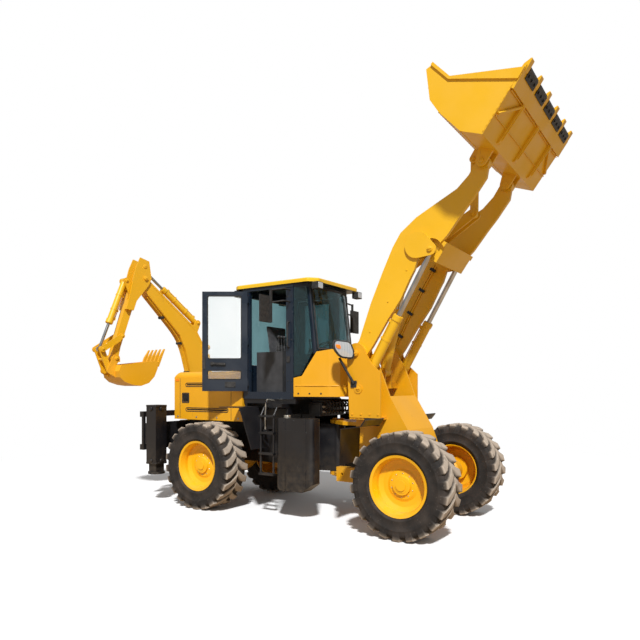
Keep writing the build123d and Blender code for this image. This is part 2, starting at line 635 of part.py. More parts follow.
with BuildPart() as mirrors:
    for hand in (1, -1):
        x = -300 if hand < 0 else -150
        for z in (2760, 2915):
            tube([(-232, hand * CAB_Y, z), (-232, hand * 700, z), (x, hand * 880, z - 40)], 11)
        block((x - 14, x + 14), sorted((hand * 868, hand * 892)), (2470, 2890))
        block((x - 26, x - 4), sorted((hand * 860, hand * 1080)), (2466, 2800))
        fillet(mirrors.edges().filter_by(Axis.X).group_by(Axis.Z)[0], 10)
save(mirrors, "mirrors")

with BuildPart() as lamps:
    for y in (-500, 500):
        for x, out in ((150, 1), (-1150, -1)):
            block((x - 45, x + 45), (y - 60, y + 60), (2900, 2990))
save(lamps, "work_lamps")

with BuildPart() as seat_base:
    block((-860, -480), (-200, 200), (SILL_Z, 1900))
    block((-860, -420), (-480, -260), (SILL_Z, 2130))
    block((-860, -420), (260, 480), (SILL_Z, 2130))
save(seat_base, "seat_base")

with BuildPart() as cushion:
    block((-880, -380), (-230, 230), (1901, 2020))
    fillet(cushion.edges(), 25)
    plate([(-880, 1990), (-780, 1990), (-860, 2560), (-960, 2560)], side(0), 440)
save(cushion, "seat_cushion")

with BuildPart() as steering:
    column = Plane(origin=(90, 0, 1780), z_dir=(-0.5, 0, 1))
    with BuildSketch(column):
        Circle(30)
    extrude(amount=440)
    plate([(-60, 1786), (140, 2108), (200, 1600), (-60, 1600)], side(0), 200, Mode.SUBTRACT)
    with BuildSketch(column.offset(440)):
        Circle(190)
        Circle(168, mode=Mode.SUBTRACT)
        Rectangle(360, 30)
        Rectangle(30, 360)
    extrude(amount=22)
save(steering, "steering_wheel")

with BuildPart() as levers:
    for y in (-430, -370, -310, 310, 370, 430):
        with Locations((-520, y, 2131)):
            Cone(28, 14, 90, align=(Align.CENTER, Align.CENTER, Align.MIN))
            Cylinder(7, 190, align=(Align.CENTER, Align.CENTER, Align.MIN))
        with Locations((-520, y, 2330)):
            Sphere(20)
save(levers, "control_levers")

# ---------------------------------------------------------------- backhoe carrier and stabilizers
BOX_X, BOX_Y, BOX = -2390, 900, 200
LEG = 150
RAIL = (-2680, -2600)

with BuildPart() as carrier:
    block((-2470, -2422), (-800, 800), (810, 1145))
    block((-2600, -2470), (-260, 260), (810, 1145))
    for z in ((740, 820), (1220, 1300)):
        block(RAIL, (-960, 960), z)
    for y in (-940, 0, 940):
        block((RAIL[1] - 40, RAIL[1]), (y - 20, y + 20), (740, 1300))
    for y in (-930, -300, 300, 930):
        block((-2600, -2440), (y - 12, y + 12), (830, 1130))
    for hand in (1, -1):
        y = hand * BOX_Y
        block((BOX_X - BOX / 2, BOX_X + BOX / 2), (y - BOX / 2, y + BOX / 2), (550, 1400))
        block((BOX_X - LEG / 2 - 3, BOX_X + LEG / 2 + 3), (y - LEG / 2 - 3, y + LEG / 2 + 3), (540, 1385),
              Mode.SUBTRACT)
save(carrier, "backhoe_carrier")

for name, hand in (("left", 1), ("right", -1)):
    with BuildPart() as leg:
        y = hand * BOX_Y
        block((BOX_X - LEG / 2, BOX_X + LEG / 2), (y - LEG / 2, y + LEG / 2), (440, 1300))
        with BuildSketch(Plane.XY.offset(410)):
            with Locations((BOX_X, y)):
                Circle(120)
        extrude(amount=30)
    save(leg, f"stabilizer_{name}")

# the carriage clamps on the rails and holds the swing post between its lugs
POST_LOW, POST_HIGH, LUG_H = 700, 1160, 60
with BuildPart() as carriage:
    y = (SWING_Y - 330, SWING_Y + 330)
    block((RAIL[0] - 36, RAIL[0]), y, (POST_LOW - LUG_H - GAP, 1340))
    block((RAIL[0] - 36, RAIL[1]), y, (1300, 1340))
    block((RAIL[0] - 36, RAIL[1]), y, (700, 740))
    for z in (POST_LOW - LUG_H - GAP, POST_HIGH + GAP):
        with BuildSketch(Plane.XY.offset(z)):
            with BuildLine():
                Polyline((RAIL[0] - 20, SWING_Y - 100), (SWING_X, SWING_Y - 100), (SWING_X, SWING_Y + 100),
                         (RAIL[0] - 20, SWING_Y + 100), close=True)
            make_face()
            with Locations((SWING_X, SWING_Y)):
                Circle(100)
        extrude(amount=LUG_H)
    for z in (POST_LOW - LUG_H - GAP, POST_HIGH + GAP + LUG_H):
        up = 150 if z < 1000 else -150
        with BuildSketch(Plane.XY.offset(z)):
            with Locations((SWING_X, SWING_Y)):
                Circle(40)
        extrude(amount=up)
save(carriage, "backhoe_carriage")

# ---------------------------------------------------------------- backhoe
# pins in the backhoe's own plane: (out from the swing axis, height)
FOOT, TIP = (280, 1200), (1241, 3330)
BOOM_BASE, BOOM_LUG = (-60, 1430), (40, 2330)
DIP_BASE, DIP_PIN = (250, 2725), (1250, 3512)
BUCKET_BASE, KNEE = (1530, 3265), (1930, 2215)
GUIDE, HOE_HINGE, HOE_EAR = (1630, 2420), (1716, 2086), (1812, 1900)
BOOM_W, CHEEK_T = 180, 22
CHEEK = BOOM_W / 2 + GAP + CHEEK_T / 2  # cheek's middle from the centre plane
DIP_W = 116
LINK_W, EAR_W, GUIDE_W, STRIP_T = 77, 102, 126, 18
HOE_HALF = 250

with BuildPart() as post:
    with BuildSketch(Plane.XY.offset(POST_LOW)):
        with Locations((SWING_X, SWING_Y)):
            Circle(95)
    extrude(amount=POST_HIGH - POST_LOW)
    for w in (-CHEEK, CHEEK):
        # the cheeks pass in front of the upper lug, then lean back over it
        plate([(10, 720), (110, 712), (368, 1170), (360, 1250), (230, 1400), (-30, 1484), (-60, 1375), (60, 1356),
               (112, 1325), (112, 1150), (10, 1150)], hoe_plane(w), CHEEK_T)
        disc(FOOT, 92, hoe_plane(w), CHEEK_T)
        disc(BOOM_BASE, 55, hoe_plane(w), CHEEK_T)
    plate([(10, 740), (110, 740), (190, 880), (150, 1060), (10, 1140)], hoe_plane(0), 2 * CHEEK)
    disc(FOOT, 35, hoe_plane(0), 2 * CHEEK + CHEEK_T + 6)
    disc(BOOM_BASE, 25, hoe_plane(0), 2 * CHEEK + CHEEK_T + 20)
    for z in (POST_LOW, POST_HIGH):
        with Locations((SWING_X, SWING_Y, z)):
            Cylinder(40 + RUN, 230, mode=Mode.SUBTRACT)
save(post, "swing_post")

with BuildPart() as boom:
    plate(
        [(190, 1200), (370, 1200), (410, 1912), (502, 2251), (611, 2493), (1179, 3076), (1310, 3275), (1150, 3300),
         (316, 2640), (170, 2400), (110, 1900)],
        hoe_plane(0), BOOM_W,
    )
    disc(FOOT, 90, hoe_plane(0), BOOM_W)
    disc(TIP, 84, hoe_plane(0), BOOM_W)
    disc(FOOT, 35 + RUN, hoe_plane(0), 2 * BOOM_W, Mode.SUBTRACT)
    disc(TIP, 30 + RUN, hoe_plane(0), 2 * BOOM_W, Mode.SUBTRACT)
    for w in (-50, 50):
        strap(BOOM_LUG, 45, (220, 2330), 70, hoe_plane(w), 20)
        strap(DIP_BASE, 48, (330, 2560), 60, hoe_plane(1.24 * w), 20)
    disc(DIP_BASE, 25, hoe_plane(0), 154)
    for w in (-1, 1):
        disc(BOOM_LUG, 30, hoe_plane(w * 66), 12)
save(boom, "hoe_boom")

with BuildPart() as dipper:
    plate(
        [(1310, 3330), (1440, 3330), (1516, 2981), (1722, 2295), (1770, 2086), (1660, 2086), (1624, 2257),
         (1392, 2965), (1300, 3100)],
        hoe_plane(0), DIP_W,
    )
    disc(TIP, 300, hoe_plane(0), 2 * CHEEK, Mode.SUBTRACT)
    disc(HOE_HINGE, 62, hoe_plane(0), DIP_W)
    for w in (-CHEEK, CHEEK):
        plate([(1180, 3600), (1330, 3640), (1400, 3480), (1440, 3330), (1516, 2981), (1560, 2830), (1440, 2820),
               (1392, 2965), (1180, 3240), (1140, 3340)], hoe_plane(w), CHEEK_T)
        disc(DIP_PIN, 60, hoe_plane(w), CHEEK_T)
    plate([(1392, 2965), (1516, 2981), (1560, 2830), (1440, 2820)], hoe_plane(0), 2 * CHEEK)
    disc(TIP, 30, hoe_plane(0), 2 * CHEEK + CHEEK_T + 30)
    for w in (-66, 66):
        disc(DIP_PIN, 32, hoe_plane(w), 60)
    for w in (-62, 62):
        strap(BUCKET_BASE, 46, (1440, 3060), 50, hoe_plane(w), 20)
    disc(BUCKET_BASE, 25, hoe_plane(0), 154)
    disc(GUIDE, 50, hoe_plane(0), DIP_W)
    for pin, r in ((GUIDE, 22), (HOE_HINGE, 25)):
        disc(pin, r + RUN, hoe_plane(0), 3 * DIP_W, Mode.SUBTRACT)
save(dipper, "hoe_dipper")

HOE_PROFILE = ((1096, 2062), (1708, 1986), (1748, 1890), (1730, 1800), (1653, 1733), (1520, 1690), (1392, 1674),
               (1260, 1720), (1165, 1820), (1115, 1940))
with BuildPart() as hoe_bucket:
    plate(HOE_PROFILE, hoe_plane(0), 2 * HOE_HALF)
    offset(amount=-12, openings=hoe_bucket.faces().sort_by(Axis.Z)[-1])
    for w in (-EAR_W, EAR_W):
        strap(HOE_HINGE, 55, (1700, 1940), 50, hoe_plane(w), 20)
        strap(HOE_EAR, 46, (1715, 1850), 50, hoe_plane(w), 20)
        strap(HOE_HINGE, 55, HOE_EAR, 46, hoe_plane(w), 20)
    inner = [(1112, 2100), (1696, 2028), (1734, 1890), (1718, 1806), (1646, 1744), (1517, 1702), (1393, 1686),
             (1266, 1731), (1176, 1826), (1127, 1942)]
    plate(inner, hoe_plane(0), 2 * HOE_HALF - 24, Mode.SUBTRACT)
    for w in (-EAR_W, EAR_W):
        strap(HOE_HINGE, 55, HOE_EAR, 46, hoe_plane(w), 20)
    disc(HOE_HINGE, 25, hoe_plane(0), 2 * EAR_W + 40)
save(hoe_bucket, "hoe_bucket")

HOE_TEETH = 5
with BuildPart() as hoe_teeth:
    for number in range(HOE_TEETH):
        w = (number - (HOE_TEETH - 1) / 2) * (2 * HOE_HALF - 50) / (HOE_TEETH - 1)
        plate([(1095, 2066), (1108, 1975), (1088, 1970), (1030, 2120), (980, 2245), (990, 2250), (1070, 2130)],
              hoe_plane(w), 40)
save(hoe_teeth, "hoe_teeth")

with BuildPart() as guide:
    for w in (-GUIDE_W, GUIDE_W):
        strap(GUIDE, 38, KNEE, 44, hoe_plane(w), 16)
    disc(GUIDE, 22, hoe_plane(0), 2 * GUIDE_W + 16)
    for w in (-1, 1):
        disc(KNEE, 22, hoe_plane(w * 95), 78)
save(guide, "guide_link")

with BuildPart() as link:
    for w in (-LINK_W, LINK_W):
        strap(KNEE, 42, HOE_EAR, 42, hoe_plane(w), STRIP_T)
    mid = ((KNEE[0] + HOE_EAR[0]) / 2 + 20, (KNEE[1] + HOE_EAR[1]) / 2 + 8)
    disc(mid, 20, hoe_plane(0), 2 * LINK_W)
    disc(KNEE, 22 + RUN, hoe_plane(0), 4 * LINK_W, Mode.SUBTRACT)
save(link, "bucket_link")

for name, base, pin, length, start in (
    ("boom", BOOM_BASE, BOOM_LUG, 780, 138),
    ("dipper", DIP_BASE, DIP_PIN, 800, 660),
    ("bucket", BUCKET_BASE, KNEE, 700, 560),
):
    with BuildPart() as tube_part:
        barrel(hoe_plane(0), base, pin, length, 46, 34, 44, 60, 25 + RUN)
    save(tube_part, f"{name}_barrel")
    with BuildPart() as rod_part:
        rod(hoe_plane(0), base, pin, start, 22, 38, 50, 16)
        rod_between(hoe_plane(0), base, pin, 34 - RUN, start, start + 50)
    save(rod_part, f"{name}_rod")
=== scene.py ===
"""Looks of an articulated backhoe loader: paint, rubber, glass, bolts and lines on its frame.

Lengths are in metres in the machine's own frame: X forward, Y to its left, Z up from the ground.
"""

import math

import bmesh
import bpy
import numpy as np
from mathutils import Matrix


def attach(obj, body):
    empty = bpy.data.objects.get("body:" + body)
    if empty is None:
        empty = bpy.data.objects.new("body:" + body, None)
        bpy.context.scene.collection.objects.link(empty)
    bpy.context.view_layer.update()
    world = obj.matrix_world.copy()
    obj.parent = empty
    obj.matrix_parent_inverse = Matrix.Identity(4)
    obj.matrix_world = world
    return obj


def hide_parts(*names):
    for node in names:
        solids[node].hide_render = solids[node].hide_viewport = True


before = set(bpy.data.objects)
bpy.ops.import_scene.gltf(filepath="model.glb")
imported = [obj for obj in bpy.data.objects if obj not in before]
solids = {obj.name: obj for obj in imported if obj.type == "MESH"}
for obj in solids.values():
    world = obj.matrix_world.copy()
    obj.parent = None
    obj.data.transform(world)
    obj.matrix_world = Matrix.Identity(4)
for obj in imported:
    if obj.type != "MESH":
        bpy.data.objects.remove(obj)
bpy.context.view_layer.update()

HANDS = (1, -1)
SIDES = (("left", 1), ("right", -1))
AHEAD, UP = (1, 0, 0), (0, 0, 1)


# ---------------- shader nodes
def plug(tree, value, socket):
    """Gives a socket a number, a colour or another node's output."""
    if isinstance(value, bpy.types.NodeSocket):
        tree.links.new(value, socket)
    elif socket.type == "RGBA":
        socket.default_value = (*value, 1)
    else:
        socket.default_value = value


def node(tree, kind, *values, **settings):
    """One shader node: settings fill its properties and named sockets, values its first sockets."""
    made = tree.nodes.new("ShaderNode" + kind)
    for key, value in settings.items():
        if hasattr(made, key):
            setattr(made, key, value)
        else:
            plug(tree, value, made.inputs[key.replace("_", " ")])
    for socket, value in zip(made.inputs, values):
        plug(tree, value, socket)
    return made


class Surface:
    """A material in the making, with short names for the node set-ups that the finishes share."""

    def __init__(self, name, roughness, metallic=0.0, coat=0.0, **levels):
        self.made = bpy.data.materials.new(name)
        self.made.use_nodes = True
        self.tree = self.made.node_tree
        self.shader = self.tree.nodes["Principled BSDF"]
        self.place = self.node("TexCoord").outputs["Object"]
        self.feed(Roughness=roughness, Metallic=metallic, Coat_Weight=coat, **levels)

    def node(self, kind, *values, **settings):
        """One node in this material's tree."""
        return node(self.tree, kind, *values, **settings)

    def feed(self, **sockets):
        """Fills the shader's named sockets."""
        for key, value in sockets.items():
            plug(self.tree, value, self.shader.inputs[key.replace("_", " ")])

    def part(self, source, letter):
        """One coordinate of a vector."""
        return self.node("SeparateXYZ", source).outputs[letter]

    def spread(self, source, low=0.0, high=1.0, to=(0.0, 1.0)):
        """A value carried from the range low to high over to another range, and held inside it."""
        return self.node("MapRange", source, From_Min=low, From_Max=high, To_Min=to[0],
                         To_Max=to[1]).outputs[0]

    def grain(self, scale, detail=4.0, low=0.35, high=0.65, stretch=None):
        """Cloudy noise of a given size, spread from 0 to 1 between its low and high levels."""
        place = self.place
        if stretch:
            place = self.node("Mapping", place, Scale=stretch).outputs[0]
        cloud = self.node("TexNoise", place, Scale=scale, Detail=detail)
        return self.spread(cloud.outputs["Fac"], low, high)

    def ribs(self, scale, way="X"):
        """Even stripes, for moulded lenses and for threads."""
        return self.node("TexWave", self.place, Scale=scale, bands_direction=way).outputs["Fac"]

    def times(self, first, second, operation="MULTIPLY"):
        """Two factors multiplied, and held between 0 and 1."""
        return self.node("Math", first, second, operation=operation, use_clamp=True).outputs[0]

    def plus(self, first, second):
        """Two factors added, and held between 0 and 1."""
        return self.times(first, second, "ADD")

    def facing_up(self, low=0.3, high=0.95):
        """How far a surface faces the sky, where dust settles."""
        return self.spread(self.part(self.node("NewGeometry").outputs["Normal"], "Z"), low, high)

    def near_ground(self, top, bottom):
        """Grows from 0 at one height to 1 at a lower one, for splashed dirt."""
        return self.spread(self.part(self.place, "Z"), top, bottom)

    def between(self, factor, first, second):
        """A colour between two, each a colour or a node's output."""
        made = self.node("Mix", data_type="RGBA")
        for number, value in ((0, factor), (6, first), (7, second)):
            plug(self.tree, value, made.inputs[number])
        return made.outputs[2]

    def colour(self, factor, first, second):
        """The surface's own colour, between two by a factor."""
        self.feed(Base_Color=self.between(factor, first, second))

    def relief(self, height, depth, strength=1.0):
        """Fine relief from a height between 0 and 1."""
        bump = self.node("Bump", Distance=depth, Strength=strength, Height=height)
        self.feed(Normal=bump.outputs[0])


# ---------------- planes
# Each plane puts its own u, v and w in the machine's frame.
def plan(u, v, w):
    """Seen from above: u forward, v to the left, w up."""
    return np.stack(np.broadcast_arrays(u, v, w), -1).astype(float)


def flat(u, v, w):
    """Side elevation: u forward, v up, w to the left."""
    return plan(u, w, v)


def facing_front(u, v, w):
    """Seen from the front: u to the left, v up, w forward."""
    return plan(w, u, v)


def leaning(origin, lean):
    """A side elevation turned about its origin: u along the lean, v square to it, w to the left."""
    def lay(u, v, w):
        x = origin[0] + np.multiply(u, math.cos(lean)) - np.multiply(v, math.sin(lean))
        z = origin[1] + np.multiply(u, math.sin(lean)) + np.multiply(v, math.cos(lean))
        return plan(x, w, z)
    return lay


def standing(origin, aim, outward):
    """A plane on an upright axis: u out from the axis, v up, w across, to the side of outward."""
    def lay(u, v, w):
        across = np.multiply(w, outward)
        x = origin[0] + np.multiply(u, math.cos(aim)) - across * math.sin(aim)
        y = origin[1] + np.multiply(u, math.sin(aim)) + across * math.cos(aim)
        return plan(x, y, v)
    return lay


def traced(lay, route, w):
    """A route of (u, v) points at one width."""
    return lay(*np.transpose(route), w)


def proud(hand, face, low, high):
    """The span from low to high above a face that looks outward on one hand."""
    return hand * (face + low), hand * (face + high)


# ---------------- shapes and pieces
def grid(points, ring_rows=False, ring_cols=False):
    """Square faces between neighbours in a grid; a ring direction joins its end to its start."""
    rows, cols = points.shape[:2]
    i, j = np.meshgrid(np.arange(rows - (not ring_rows)), np.arange(cols - (not ring_cols)),
                       indexing="ij")
    below, beside = (i + 1) % rows, (j + 1) % cols
    faces = np.stack([i * cols + j, below * cols + j, below * cols + beside, i * cols + beside], -1)
    return points.reshape(-1, 3), faces.reshape(-1, 4)


def turned(profile, centre, axis, count=32, turn=0.0):
    """A profile of (radius, height) pairs carried round an axis that starts at a centre."""
    radius, height = np.array(profile, float).T
    axis = np.array(axis, float) / np.linalg.norm(axis)
    side = np.cross(axis, (0.31, 0.52, 0.80))
    side /= np.linalg.norm(side)
    a = np.linspace(0, 2 * np.pi, count, endpoint=False) + turn
    ring = np.cos(a)[:, None] * side + np.sin(a)[:, None] * np.cross(axis, side)
    return grid(np.array(centre) + radius[:, None, None] * ring + height[:, None, None] * axis,
                ring_cols=True)


def ring_of(centre, radius, count, axis, turn=0.0):
    """Points spread evenly on a circle about an axis."""
    return turned(((radius, 0.0), (radius, 0.0)), centre, axis, count, turn)[0][:count]


def disc(radius, rim, face, top, place, axis, count=24):
    """A round cap: straight up to its rim's height, then drawn in to a smaller flat face."""
    return turned(((0, 0), (radius, 0), (radius, rim), (face, top), (0, top)), place, axis, count)


def bolts(centres, axis, radius=0.010, height=0.008):
    """Hexagon heads on round washers: one small turned shape repeated at every centre."""
    washer, rounds = turned(((0, 0), (1.45 * radius, 0), (1.45 * radius, 0.2 * height),
                             (0, 0.2 * height)), (0, 0, 0), axis, 14)
    head, flats = turned(((radius, 0), (radius, 0.8 * height), (0.86 * radius, height),
                          (0, height)), (0, 0, 0), axis, 6)
    shape = np.concatenate([washer, head])
    loops = np.concatenate([rounds, flats + len(washer)])
    centres = np.array(centres, float).reshape(-1, 3)
    starts = (np.arange(len(centres)) * len(shape))[:, None, None]
    return (centres[:, None] + shape).reshape(-1, 3), (loops + starts).reshape(-1, 4)


def extruded(outline, lay, low, high):
    """A flat outline made solid between two widths."""
    u, v = np.array(outline, float).T
    ring = np.arange(len(u))
    ahead, far = (ring + 1) % len(u), ring + len(u)
    sides = np.stack([ring, ahead, ahead + len(u), far], -1).tolist()
    return (np.concatenate([lay(u, v, low), lay(u, v, high)]),
            [ring[::-1].tolist(), far.tolist(), *sides])


def eased(outline, reach, steps=4):
    """An outline with each corner V rounded by (1-t)^2 A + 2t(1-t) V + t^2 B, A and B near V."""
    spots = np.array(outline, float)
    t = np.linspace(0, 1, steps + 1)[:, None]
    soft = []
    for before, corner, after in zip(np.roll(spots, 1, 0), spots, np.roll(spots, -1, 0)):
        a = corner + (before - corner) * min(0.45, reach / np.linalg.norm(before - corner))
        b = corner + (after - corner) * min(0.45, reach / np.linalg.norm(after - corner))
        soft.append((1 - t) ** 2 * a + 2 * t * (1 - t) * corner + t**2 * b)
    return np.concatenate(soft)


def rectangle(u, v, reach=0.0):
    """The outline of two spans, with its corners eased where a reach is given."""
    outline = [(u[0], v[0]), (u[1], v[0]), (u[1], v[1]), (u[0], v[1])]
    return eased(outline, reach) if reach else outline


def slab(lay, u, v, w, reach=0.0):
    """A plate or block over three spans, with the corners of its outline eased."""
    return extruded(rectangle(u, v, reach), lay, *w)


def weld(route, radius=0.005, ripple=0.0016, count=90):
    """A weld bead: a round section swept along a route, with close even ripples."""
    route = np.array(route, float)
    reach = np.concatenate([[0], np.cumsum(np.linalg.norm(np.diff(route, axis=0), axis=1))])
    along = np.linspace(0, reach[-1], count)
    line = np.stack([np.interp(along, reach, route[:, k]) for k in range(3)], -1)
    ahead = np.gradient(line, axis=0)
    ahead /= np.linalg.norm(ahead, axis=1)[:, None]
    side = np.cross(ahead, (0.27, 0.61, 0.74))
    side /= np.linalg.norm(side, axis=1)[:, None]
    up = np.cross(ahead, side)
    a = np.linspace(0, 2 * np.pi, 8, endpoint=False)
    swell = radius + ripple * np.sin(along / 0.009)[:, None, None]
    ring = np.cos(a)[None, :, None] * side[:, None] + np.sin(a)[None, :, None] * up[:, None]
    return grid(line[:, None] + swell * ring, ring_cols=True)


def bead(lay, outline, w, count):
    """A smooth rubber bead round a closed outline."""
    return weld(traced(lay, [*outline, outline[0]], w), 0.006, 0.0, count)


# a pin cap's plate thickness, its nipple's radius and its whole height
KEEPER_CAP, HOE_CAP = (0.007, 0.009, 0.020), (0.006, 0.008, 0.018)


def pin_cap(place, axis, radius, heights, low=1.0):
    """A pin's round plate and grease nipple; low squeezes its height where there is little room."""
    plate, nipple, top = heights
    outline = ((0, 0), (radius, 0), (radius, plate), (radius - 0.004, plate + 0.002),
               (nipple, plate + 0.002), (nipple, plate + 0.007), (nipple - 0.004, top), (0, top))
    return turned([(r, low * h) for r, h in outline], place, axis, 24)


def keeper(place, outward, radius):
    """A pin's cap on an upright plate, and the two bolts that hold it."""
    heads = [np.add(place, (along * radius, 0.009 * outward, 0)) for along in (0.62, -0.62)]
    axis = (0, outward, 0)
    return [pin_cap(place, axis, radius, KEEPER_CAP), bolts(heads, axis, 0.006, 0.006)]


def added(name, data):
    """A new object in the scene."""
    made = bpy.data.objects.new(name, data)
    bpy.context.collection.objects.link(made)
    return made


def soften(made, width, limit):
    """A small rounding on the edges that turn by more than a limit in degrees."""
    if width:
        rounding = made.modifiers.new("edge", "BEVEL")
        rounding.width, rounding.segments, rounding.limit_method = width, 2, "ANGLE"
        rounding.angle_limit = math.radians(limit)


def piece(name, parts, body, slot, finish, edge=0.0, sharp=35):
    """Joins parts, each of points and faces, into one object on its body, with its finish."""
    faces, start = [], 0
    for spots, loops in parts:
        loops = loops.tolist() if isinstance(loops, np.ndarray) else loops
        faces += [[v + start for v in loop] for loop in loops]
        start += len(spots)
    mesh = bpy.data.meshes.new(name)
    mesh.from_pydata(np.concatenate([spots for spots, _ in parts]).tolist(), [], faces)
    shell = bmesh.new()
    shell.from_mesh(mesh)
    bmesh.ops.remove_doubles(shell, verts=shell.verts, dist=2e-5)
    bmesh.ops.recalc_face_normals(shell, faces=shell.faces)
    shell.to_mesh(mesh)
    shell.free()
    mesh.polygons.foreach_set("use_smooth", np.ones(len(mesh.polygons), bool))
    mesh.set_sharp_from_angle(angle=math.radians(sharp))
    mesh.materials.append(finish.made)
    made = added(name, mesh)
    soften(made, edge, 30)
    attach(made, body)
    return made


def pipe(name, paths, radius, body, slot, finish):
    """Round bars or steel lines along smooth splines through the given points."""
    curve = bpy.data.curves.new(name, "CURVE")
    curve.dimensions, curve.bevel_depth, curve.bevel_resolution = "3D", radius, 3
    curve.use_fill_caps = True
    for route in paths:
        spline = curve.splines.new("NURBS")
        spline.points.add(len(route) - 1)
        spline.points.foreach_set("co", np.array([(*p, 1.0) for p in route]).ravel())
        spline.order_u, spline.use_endpoint_u, spline.resolution_u = 3, True, 6
    curve.materials.append(finish.made)
    made = added(name, curve)
    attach(made, body)


def dress(finish, *names, edge=0.0):
    """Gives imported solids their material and, where asked, a small rounding on sharp edges."""
    for name in names:
        solid = solids[name]
        solid.data.materials.clear()
        solid.data.materials.append(finish.made)
        soften(solid, edge, 40)


def spots_of(mesh):
    """Where each of a mesh's points is, one row for each."""
    spots = np.empty(len(mesh.vertices) * 3)
    mesh.vertices.foreach_get("co", spots)
    return spots.reshape(-1, 3)


# ---------------- ground, light and camera
# The machine stands on a pale, plain yard. One broad high light comes over its right front
# corner, and the open sky fills the rest.
EYE, HEADING = (4.269, -6.648, 1.662), math.radians(33.574)
LENS, SENSOR, VIEW_LIFT = 32.88, 36.0, 0.1043
SUN_POWER, SUN_WIDTH = 4.2, math.radians(4)
SUN_TURN = (math.radians(44), math.radians(6), math.radians(28))
SKY_LEVEL = 0.36  # what the sky lights with; seen directly or through glass it stays white
FLOOR_HALF, FLOOR_DROP = 40.0, 0.001
WARM_BOUNCE = (0.44, 0.33, 0.22)  # the yard's colour in the light that it sends back
FADE_START, FADE_END = 5.0, 9.0  # the far ground fades into the white sky, so no skyline shows

eye = bpy.data.cameras.new("eye")
eye.lens, eye.sensor_width, eye.shift_y = LENS, SENSOR, VIEW_LIFT
viewer = added("eye", eye)
viewer.location = EYE
viewer.rotation_euler = (math.radians(90), 0, HEADING)
bpy.context.scene.camera = viewer
sun = bpy.data.lights.new("high_light", "SUN")
sun.energy, sun.angle = SUN_POWER, SUN_WIDTH
added("high_light", sun).rotation_euler = SUN_TURN

sky = bpy.data.worlds.new("sky")
sky.use_nodes = True
bpy.context.scene.world = sky
air = sky.node_tree
rays = node(air, "LightPath").outputs
seen = node(air, "Math", rays["Is Camera Ray"], rays["Is Transmission Ray"], operation="MAXIMUM")
level = node(air, "MapRange", seen.outputs[0], To_Min=SKY_LEVEL, To_Max=1.0)
plug(air, level.outputs[0], air.nodes["Background"].inputs["Strength"])
plug(air, (1, 1, 1), air.nodes["Background"].inputs["Color"])

concrete = Surface("pale_concrete", 0.9, Specular_IOR_Level=0.1)
spots = concrete.node("TexNoise", concrete.place, Scale=3.0, Detail=4.0)
in_view = concrete.node("LightPath").outputs["Is Camera Ray"]
concrete.colour(in_view, WARM_BOUNCE, concrete.spread(spots.outputs["Fac"], to=(0.93, 0.97)))
far = concrete.node("VectorMath", concrete.place, operation="LENGTH").outputs["Value"]
faded = concrete.times(concrete.spread(far, FADE_START, FADE_END), in_view)
white = concrete.node("Emission", Strength=1.0)
blend = concrete.node("MixShader", faded, concrete.shader.outputs[0], white.outputs[0])
plug(concrete.tree, blend.outputs[0], concrete.tree.nodes["Material Output"].inputs["Surface"])
yard = bpy.data.meshes.new("yard")
yard.from_pydata([(x * FLOOR_HALF, y * FLOOR_HALF, -FLOOR_DROP)
                  for x, y in ((-1, -1), (1, -1), (1, 1), (-1, 1))], [], [(0, 1, 2, 3)])
yard.materials.append(concrete.made)
ground = added("yard", yard)

# ---------------- finishes
RUBBER, OLD_RUBBER = (0.018, 0.016, 0.015), (0.050, 0.040, 0.034)
ROAD_DUST, DRY_DUST = (0.42, 0.35, 0.28), (0.50, 0.38, 0.24)
BODY_YELLOW, BRIGHT_YELLOW = (0.78, 0.37, 0.004), (0.84, 0.47, 0.008)
RIM_YELLOW, HOE_YELLOW = (0.88, 0.45, 0.004), (0.82, 0.43, 0.008)
BROWN_SCUFF = (0.32, 0.12, 0.02)
TOOTH_PITCH, TOOTH_HALF, TOOTH_REACH = 0.376, 0.038, 0.940  # across the loader bucket's lip


def tyre_rubber():
    """Black rubber with brown scuffing, and road dust on the tread's outermost faces."""
    made = Surface("tyre_rubber_dusty", 0.78, Specular_IOR_Level=0.3)
    scuffed = made.between(made.grain(5.0, 6.0, 0.4, 0.7), RUBBER, OLD_RUBBER)
    on_tread = made.node("Attribute", attribute_name="tread").outputs["Fac"]
    dusty = made.between(made.times(on_tread, made.grain(9.0, 8.0, 0.10, 0.42)), scuffed, ROAD_DUST)
    made.colour(made.times(made.grain(60.0, 3.0, 0.66, 0.78), 0.35), dusty, ROAD_DUST)
    made.relief(made.grain(110.0, 5.0, 0.2, 0.8), 0.0015, 0.6)
    return made


def paint(name, colour, deep, roughness=0.38, splash=(0.9, 0.2), dirty=0.6):
    """Sprayed paint: slow colour drift, scuffs, dust on upward faces, splashes near the ground."""
    made = Surface(name, roughness, coat=0.25, Coat_Roughness=0.3)
    drift = made.between(made.grain(1.6, 5.0, 0.3, 0.7), tuple(0.93 * c for c in colour), colour)
    scuff = made.grain(30.0, 9.0, 0.66, 0.74, (1.0, 1.0, 0.35))
    patch = made.times(scuff, made.grain(2.3, 3.0, 0.5, 0.72))
    scuffed = made.between(made.times(patch, 0.75), drift, deep)
    dust = made.times(made.times(made.facing_up(), made.grain(6.0, 6.0, 0.3, 0.75)), 0.3)
    low = made.times(made.near_ground(*splash), made.grain(14.0, 7.0, 0.35, 0.7))
    dirt = made.times(made.plus(dust, made.times(low, 0.5)), dirty)
    made.colour(dirt, scuffed, DRY_DUST)
    made.feed(Roughness=made.spread(made.plus(dirt, made.grain(3.0)),
                                    to=(roughness - 0.08, roughness + 0.25)))
    made.relief(made.grain(260.0, 2.0, 0.2, 0.8), 0.0004, 0.35)
    return made


def mottled(name, roughness, scale, first, second, **levels):
    """A surface whose colour drifts between two, in clouds of one size."""
    made = Surface(name, roughness, **levels)
    made.colour(made.grain(scale), first, second)
    return made


